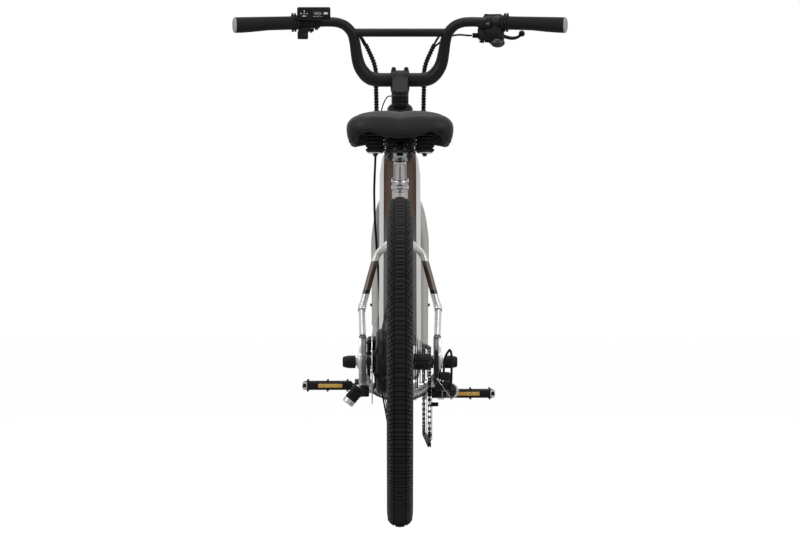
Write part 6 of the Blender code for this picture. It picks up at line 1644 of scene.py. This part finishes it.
marks = []
face = screen - (0.0, 0.00055, 0.0)
for k, sign in enumerate("1205"):
    marks += digit(sign, face + (-0.0150 + 0.0048 * k, 0.0, 0.0008), 0.0046)
marks.append(mark(0.0007, 0.0007, face + (-0.0030, 0.0, -0.0018), rounding=0.00008))
for k in range(4):
    marks.append(mark(0.0016, 0.0036, face + (0.0090 + 0.0018 * k, 0.0, 0.0008)))
for up in (-1, 1):
    marks.append(mark(0.0092, 0.0004, face + (0.0117, 0.0, 0.0008 + 0.0025 * up)))
    marks.append(mark(0.0004, 0.0050, face + (0.0117 + 0.0046 * up, 0.0, 0.0008)))
for k in range(9):
    marks.append(mark(0.0012, 0.0010, face + (-0.0160 + 0.0024 * k, 0.0, -0.0062)))
piece("display_marks", marks, pale_mark, "steering")
pad_face = rear_face + (-0.0218, -0.0009, 0.0)
pad_marks, pad_keys = [], []
for x, z, wide, tall in (
    (0.0, 0.0, 0.0026, 0.0022), (-0.0072, 0.0, 0.0020, 0.0026), (0.0072, 0.0, 0.0020, 0.0026),
    (0.0004, 0.0056, 0.0024, 0.0022), (0.0004, -0.0056, 0.0088, 0.0015),
):
    spot = pad_face + (x, -0.0002, z)
    pad_keys.append(
        turned([(0.0026, 0.0), (0.0026, 0.0003), (0.0021, 0.0006), (0.0004, 0.0007)], spot, (0, -1, 0), 24)
    )
    pad_marks.append(mark(wide, tall, spot - (0, 0.00075, 0), 0.0004))
piece("keypad_keys", pad_keys, grip_rubber, "keypad_set")
piece("keypad_marks", pad_marks, pale_mark, "keypad_set")
refined("throttle_housing", black_plastic, 0.0005)
refined("throttle_lever", black_plastic, 0.0010)
paddle = off_bar(-1, 0.22625 - 0.0045, -0.0045, -0.0290)
paddle_rear = paddle - 0.0040 * square_on[-1]
bridge_block = block((0.0235, 0.0090, 0.0120), paddle + (0.0015, 0.0, 0.0115), bar_turn[-1], 0.002)
piece("throttle_neck", [bridge_block], black_plastic, "throttle_set")
# A thin black glossy plate on the paddle's rear face is painted shade for its recess.
painted_recess_shade = [block((0.0100, 0.0008, 0.0050), paddle_rear - 0.0001 * square_on[-1], bar_turn[-1], 0.0003)]
# A grey strip beside the paddle's rear face is a painted highlight on its rim.
painted_rim_highlight = [block((0.0042, 0.0012, 0.0170), paddle_rear + (-0.0100, 0.0010, 0.0), bar_turn[-1], 0.0004)]
piece("throttle_recess_shade", painted_recess_shade, screen_glass, "throttle_set")
piece("throttle_painted_highlight", painted_rim_highlight, cap_grey, "throttle_set")


# Shifter
# The shifter's pod is clamped under the bar; a domed smoked thumb lever and a small forward trigger
# turn on pins below it, and a clear window shows the gear.
refined("shifter_housing", black_plastic, 0.0007)
refined("release_trigger", black_plastic, 0.0008)
pod = off_bar(1, 0.1945, 0.0065, -0.0260)
thumb = pod + (0.004, 0.0, -0.0155)
paddle_dome = ellipsoid(thumb + (0.0215, -0.0230, -0.0060), (0.0165, 0.0105, 0.0110), 25, 40)
arm = swept(flowing([
    thumb + (0.004, -0.003, -0.0036), thumb + (0.0110, -0.0120, -0.0052),
    thumb + (0.0180, -0.0200, -0.0062),
]), 0.0034, 16)
lever_disc = ring(thumb - (0, 0, 0.0042), thumb, 0.0080, 0.0033, 40, 0.0006)
piece(
    "shift_lever_skin", [arm, lever_disc], black_plastic, "shift_lever_set",
    ["shift_lever"],
)
smoked = grained(
    "smoked plastic", (0.010, 0.006, 0.006), (0.018, 0.011, 0.011), 300.0, 0.22, 0.10, 0.05,
    0.0, 0.15, shine=0.3,
)
piece("shift_lever_dome", [paddle_dome], smoked, "shift_lever_set")
POD_RINGS = [
    (-0.0060, 0.2095, 0.0150, 0.0080), (-0.0066, 0.2098, 0.0220, 0.0130),
    (-0.0120, 0.2104, 0.0246, 0.0158), (-0.0220, 0.2112, 0.0250, 0.0170),
    (-0.0300, 0.2132, 0.0230, 0.0166), (-0.0370, 0.2165, 0.0198, 0.0150),
    (-0.0408, 0.2185, 0.0172, 0.0126), (-0.0414, 0.2188, 0.0130, 0.0090),
]


def pod_shell():
    """The pod's shell: level superellipses |a / wide|^2.8 + |b / deep|^2.8 = 1 that narrow and
    shift outward on the way down."""
    a, b, _ = squared_circle(48, 2.8)
    fine = flowing(np.array([(up, across, wide, deep) for up, across, wide, deep in POD_RINGS]), 5)
    middle = np.array([off_bar(1, across, 0.0020, up) for up, across, _, _ in fine])
    along, ahead = unit(bar_point(0.3) - bar_point(0.2)), square_on[1]
    wide, deep = fine[:, 2, None, None], fine[:, 3, None, None]
    around = wide * a[None, :, None] * along + deep * b[None, :, None] * ahead
    return skin(middle[:, None] + around)


piece("shifter_shell", [pod_shell()], black_plastic, "steering", sharp=50.0)
window_box = block((0.0330, 0.0200, 0.0160), off_bar(1, 0.1957, -0.0130, -0.0072), bar_turn[1], 0.0055)
piece("gear_window_box", [window_box], black_plastic, "steering", sharp=50.0)
window_rear = off_bar(1, 0.1942, -0.0230, -0.0042)
piece(
    "gear_window", [block((0.0290, 0.0010, 0.0074), window_rear, bar_turn[1], 0.0004)],
    screen_glass, "steering",
)
gear_marks = []
lean = unit(bar_point(0.3) - bar_point(0.2))
for k, sign in enumerate("1235"):
    spot = window_rear + (0.0034 * k + 0.0022) * lean - 0.0006 * square_on[1]
    gear_marks += digit(sign, spot, 0.0030)
piece("gear_marks", gear_marks, pale_mark, "steering")
red_mark = grained("red band", (0.130, 0.040, 0.045), (0.170, 0.060, 0.065), 800.0, 0.4, 0.1, 0.05)
pointer = window_rear - 0.0062 * lean - 0.0006 * square_on[1]
piece(
    "gear_band", [block((0.0150, 0.0004, 0.0046), pointer, bar_turn[1], 0.0001)], red_mark,
    "steering",
)
height = np.linspace(0.0, 0.0150, 61)
knurl = 0.0056 + 0.0004 * np.cos(2 * np.pi * height / 0.0015)
barrel = turned(
    [(0.0030, 0.0), *np.column_stack([knurl, height]), (0.0030, 0.0150)],
    pod + (-0.0315, 0, -0.004), (1, 0, 0), 40,
)
piece("cable_barrel", [barrel], black_plastic, "steering")


# Cables
# Hydraulic hoses, the shift housing and the wires run from the bar in ribbed sleeves to the
# frame's ports; the rear ones follow the chainstays.
sheath = grained("cable sheath", 0.0030, 0.0055, 1500.0, 0.40, 0.2, 0.15, shine=0.12)


def sleeve(points, radius, pitch, depth, sides=20):
    """A ribbed sleeve: r + depth * cos(2 pi s / pitch), with s the way along the path."""
    line = flowing(points, 60)
    way = np.concatenate([[0.0], np.cumsum(np.linalg.norm(np.diff(line, axis=0), axis=1))])
    count = int(way[-1] / pitch * 8)
    place = np.linspace(0, way[-1], count)
    even = np.column_stack([np.interp(place, way, line[:, k]) for k in range(3)])
    return swept(even, radius + depth * np.cos(2 * np.pi * place / pitch), sides, reference=(0.3, 1.0, 0.0))


def hose(points, radius, sides=16, steps=10):
    """A plain hose through the points."""
    return swept(flowing(points, steps), radius, sides, reference=(0.3, 1.0, 0.2))


LOOM = np.array([
    (-0.158, 0.3400, 1.1160), (-0.135, 0.3720, 1.1080), (-0.100, 0.3920, 1.0900),
    (-0.078, 0.3950, 1.0600), (-0.0570, 0.3900, 1.0080), (-0.0545, 0.3850, 0.9500),
    (-0.0528, 0.3750, 0.8900), (-0.0470, 0.3500, 0.8350), (-0.0385, 0.3385, 0.8175),
])
HOSE = [
    (-0.0520, 0.3850, 0.9200), (-0.0550, 0.3900, 0.8600), (-0.0560, 0.3950, 0.8110),
    (-0.0580, 0.4000, 0.7600), (-0.0590, 0.4010, 0.7300), (-0.0587, 0.3920, 0.7000),
    (-0.0575, 0.3840, 0.6620), (-0.0540, 0.4140, 0.6000),
    (-0.0500, 0.4400, 0.5400), (-0.0460, 0.4760, 0.4700), (-0.0440, 0.4775, 0.4340),
    (-0.0425, 0.4836, 0.4213), (-0.0420, 0.4938, 0.4149),
]


def crossing(name, shapes, stands_for):
    """A loom of sheath, on no rigid body, with its place baked into its mesh."""
    obj = piece(name, shapes, sheath, None, stands_for, 60.0)
    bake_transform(obj)
    return obj


right_start = np.vstack([(0.176, 0.3420, 1.1170), LOOM[1:] * (-1, 1, 1)])
left_parts = [hose(LOOM[:5], 0.0026), sleeve(LOOM[3:], 0.0050, 0.0068, 0.0009)]
right_parts = [hose(right_start[:5], 0.0026), sleeve(right_start[3:], 0.0050, 0.0068, 0.0009)]
barrel_end = pod + (-0.0330, 0.0, -0.004)
shift_run = [
    barrel_end, barrel_end - 0.008 * ACROSS, (0.130, 0.3400, 1.0800), (0.105, 0.3700, 1.0740),
    (0.080, 0.3945, 1.0560),
]
wire_run = [
    (-0.1860, 0.3160, 1.1000), (-0.150, 0.3520, 1.1040), (-0.118, 0.3780, 1.0980),
    (-0.096, 0.3900, 1.0820), (-0.080, 0.3945, 1.0560),
]
stem_wire = [
    (-0.0175, 0.3150, 0.9400), (-0.0290, 0.3300, 0.9380), (-0.0390, 0.3480, 0.9200),
    (-0.0450, 0.3640, 0.8960),
]
crossing("loom_left", left_parts, ["cables_left"])
crossing("loom_right", right_parts, ["cables_right"])
front_runs = [hose(HOSE, 0.0026), hose(wire_run, 0.0020), hose(stem_wire, 0.0014), hose(shift_run, 0.0022)]
piece("hoses_on_the_steering", front_runs, sheath, "steering", sharp=60.0)
LEFT_RUN = [
    (-0.012, 0.450, 0.2535), (-0.020, 0.420, 0.2595), (-0.036, 0.380, 0.2660),
    (-0.047, 0.300, 0.2718), (-0.056, 0.230, 0.2788), (-0.0610, 0.175, 0.2855),
    (-0.0540, 0.150, 0.2945), (-0.0530, 0.136, 0.3150), (-0.0590, 0.120, 0.3360),
    (-0.0645, 0.100, 0.3530),
]
RIGHT_RUN = [
    (0.012, 0.450, 0.2535), (0.020, 0.420, 0.2595), (0.036, 0.380, 0.2660),
    (0.047, 0.300, 0.2718), (0.056, 0.230, 0.2788), (0.0645, 0.150, 0.2888),
    (0.0680, 0.120, 0.2915), (0.0840, 0.090, 0.2950), (0.0915, 0.055, 0.3060),
    (0.0925, 0.015, 0.3190), (0.0930, -0.020, 0.3400), (0.0955, -0.036, 0.3600),
    (0.1010, -0.042, 0.3710), (0.1055, -0.045, 0.3755), (0.1085, -0.047, 0.3660),
    (0.1090, -0.048, 0.3400), (0.1080, -0.046, 0.3080), (0.1060, -0.040, 0.2880),
]
behind_all = np.array((0.0, HALF_BASE, 0.0))
rear_runs = [hose(np.array(LEFT_RUN) - behind_all, 0.0025), hose(np.array(RIGHT_RUN) - behind_all, 0.0025)]
piece("rear_cables_skin", rear_runs, sheath, "frame", ["rear_cables"], 60.0)


# Floor, light and camera
# A pale plain floor under soft lamps, with a white background as in the photograph.
floor_mesh = bpy.data.meshes.new("floor")
floor_mesh.from_pydata([(-30, -30, 0), (30, -30, 0), (30, 30, 0), (-30, 30, 0)], [], [(0, 1, 2, 3)])
floor = bpy.data.objects.new("floor", floor_mesh)
bpy.context.scene.collection.objects.link(floor)
pale = bpy.data.materials.new("floor")
pale.use_nodes = True
tree = pale.node_tree
tree.nodes.remove(tree.nodes["Principled BSDF"])
seen = node(tree, "ShaderNodeLightPath")
body_light = node(tree, "ShaderNodeBsdfDiffuse", in_Color=(0.86, 0.86, 0.86, 1.0))
own_light = node(tree, "ShaderNodeEmission", in_Color=(1.0, 1.0, 1.0, 1.0), in_Strength=1.14)
share = node(tree, "ShaderNodeMath", operation="MULTIPLY", in_1=0.83)
both = node(tree, "ShaderNodeMixShader")
tree.links.new(seen.outputs["Is Camera Ray"], share.inputs[0])
tree.links.new(share.outputs[0], both.inputs[0])
tree.links.new(body_light.outputs[0], both.inputs[1])
tree.links.new(own_light.outputs[0], both.inputs[2])
tree.links.new(both.outputs[0], tree.nodes["Material Output"].inputs["Surface"])
floor_mesh.materials.append(pale)

world = bpy.data.worlds.new("white room")
bpy.context.scene.world = world
world.use_nodes = True
tree = world.node_tree
seen = node(tree, "ShaderNodeLightPath")
either = node(tree, "ShaderNodeMath", operation="MAXIMUM")
whole = node(tree, "ShaderNodeMath", operation="MAXIMUM")
level = node(tree, "ShaderNodeMath", operation="MULTIPLY_ADD", in_1=0.70, in_2=0.30)
tree.links.new(seen.outputs["Is Camera Ray"], either.inputs[0])
tree.links.new(seen.outputs["Is Glossy Ray"], either.inputs[1])
tree.links.new(either.outputs[0], whole.inputs[0])
tree.links.new(seen.outputs["Is Transmission Ray"], whole.inputs[1])
tree.links.new(whole.outputs[0], level.inputs[0])
tree.nodes["Background"].inputs["Color"].default_value = (1.0, 1.0, 1.0, 1.0)
tree.links.new(level.outputs[0], tree.nodes["Background"].inputs["Strength"])


def lamp(name, place, target, size, power):
    """A square area lamp that looks at a point."""
    light = bpy.data.lights.new(name, "AREA")
    light.shape, light.size, light.energy = "SQUARE", size, power
    obj = bpy.data.objects.new(name, light)
    obj.location = place
    way = mathutils.Vector(target) - mathutils.Vector(place)
    obj.rotation_euler = way.to_track_quat("-Z", "Y").to_euler()
    bpy.context.scene.collection.objects.link(obj)


lamp("left key", (-3.2, -3.8, 3.4), (0.0, -0.3, 0.5), 2.2, 105.0)
lamp("right fill", (3.4, -3.4, 2.6), (0.0, -0.3, 0.5), 2.2, 75.0)
lamp("top", (0.0, 0.2, 4.2), (0.0, 0.0, 0.5), 2.6, 70.0)

camera = bpy.data.cameras.new("camera")
camera.lens, camera.sensor_width = 254.9, 36.0
camera.clip_end = 200.0
viewer = bpy.data.objects.new("camera", camera)
viewer.location = (0.0, -12.575, 0.552)
viewer.rotation_euler = (math.pi / 2, 0.0, 0.0)
bpy.context.scene.collection.objects.link(viewer)
bpy.context.scene.camera = viewer
bpy.context.scene.view_settings.view_transform = "Standard"
bpy.context.scene.view_settings.look = "None"
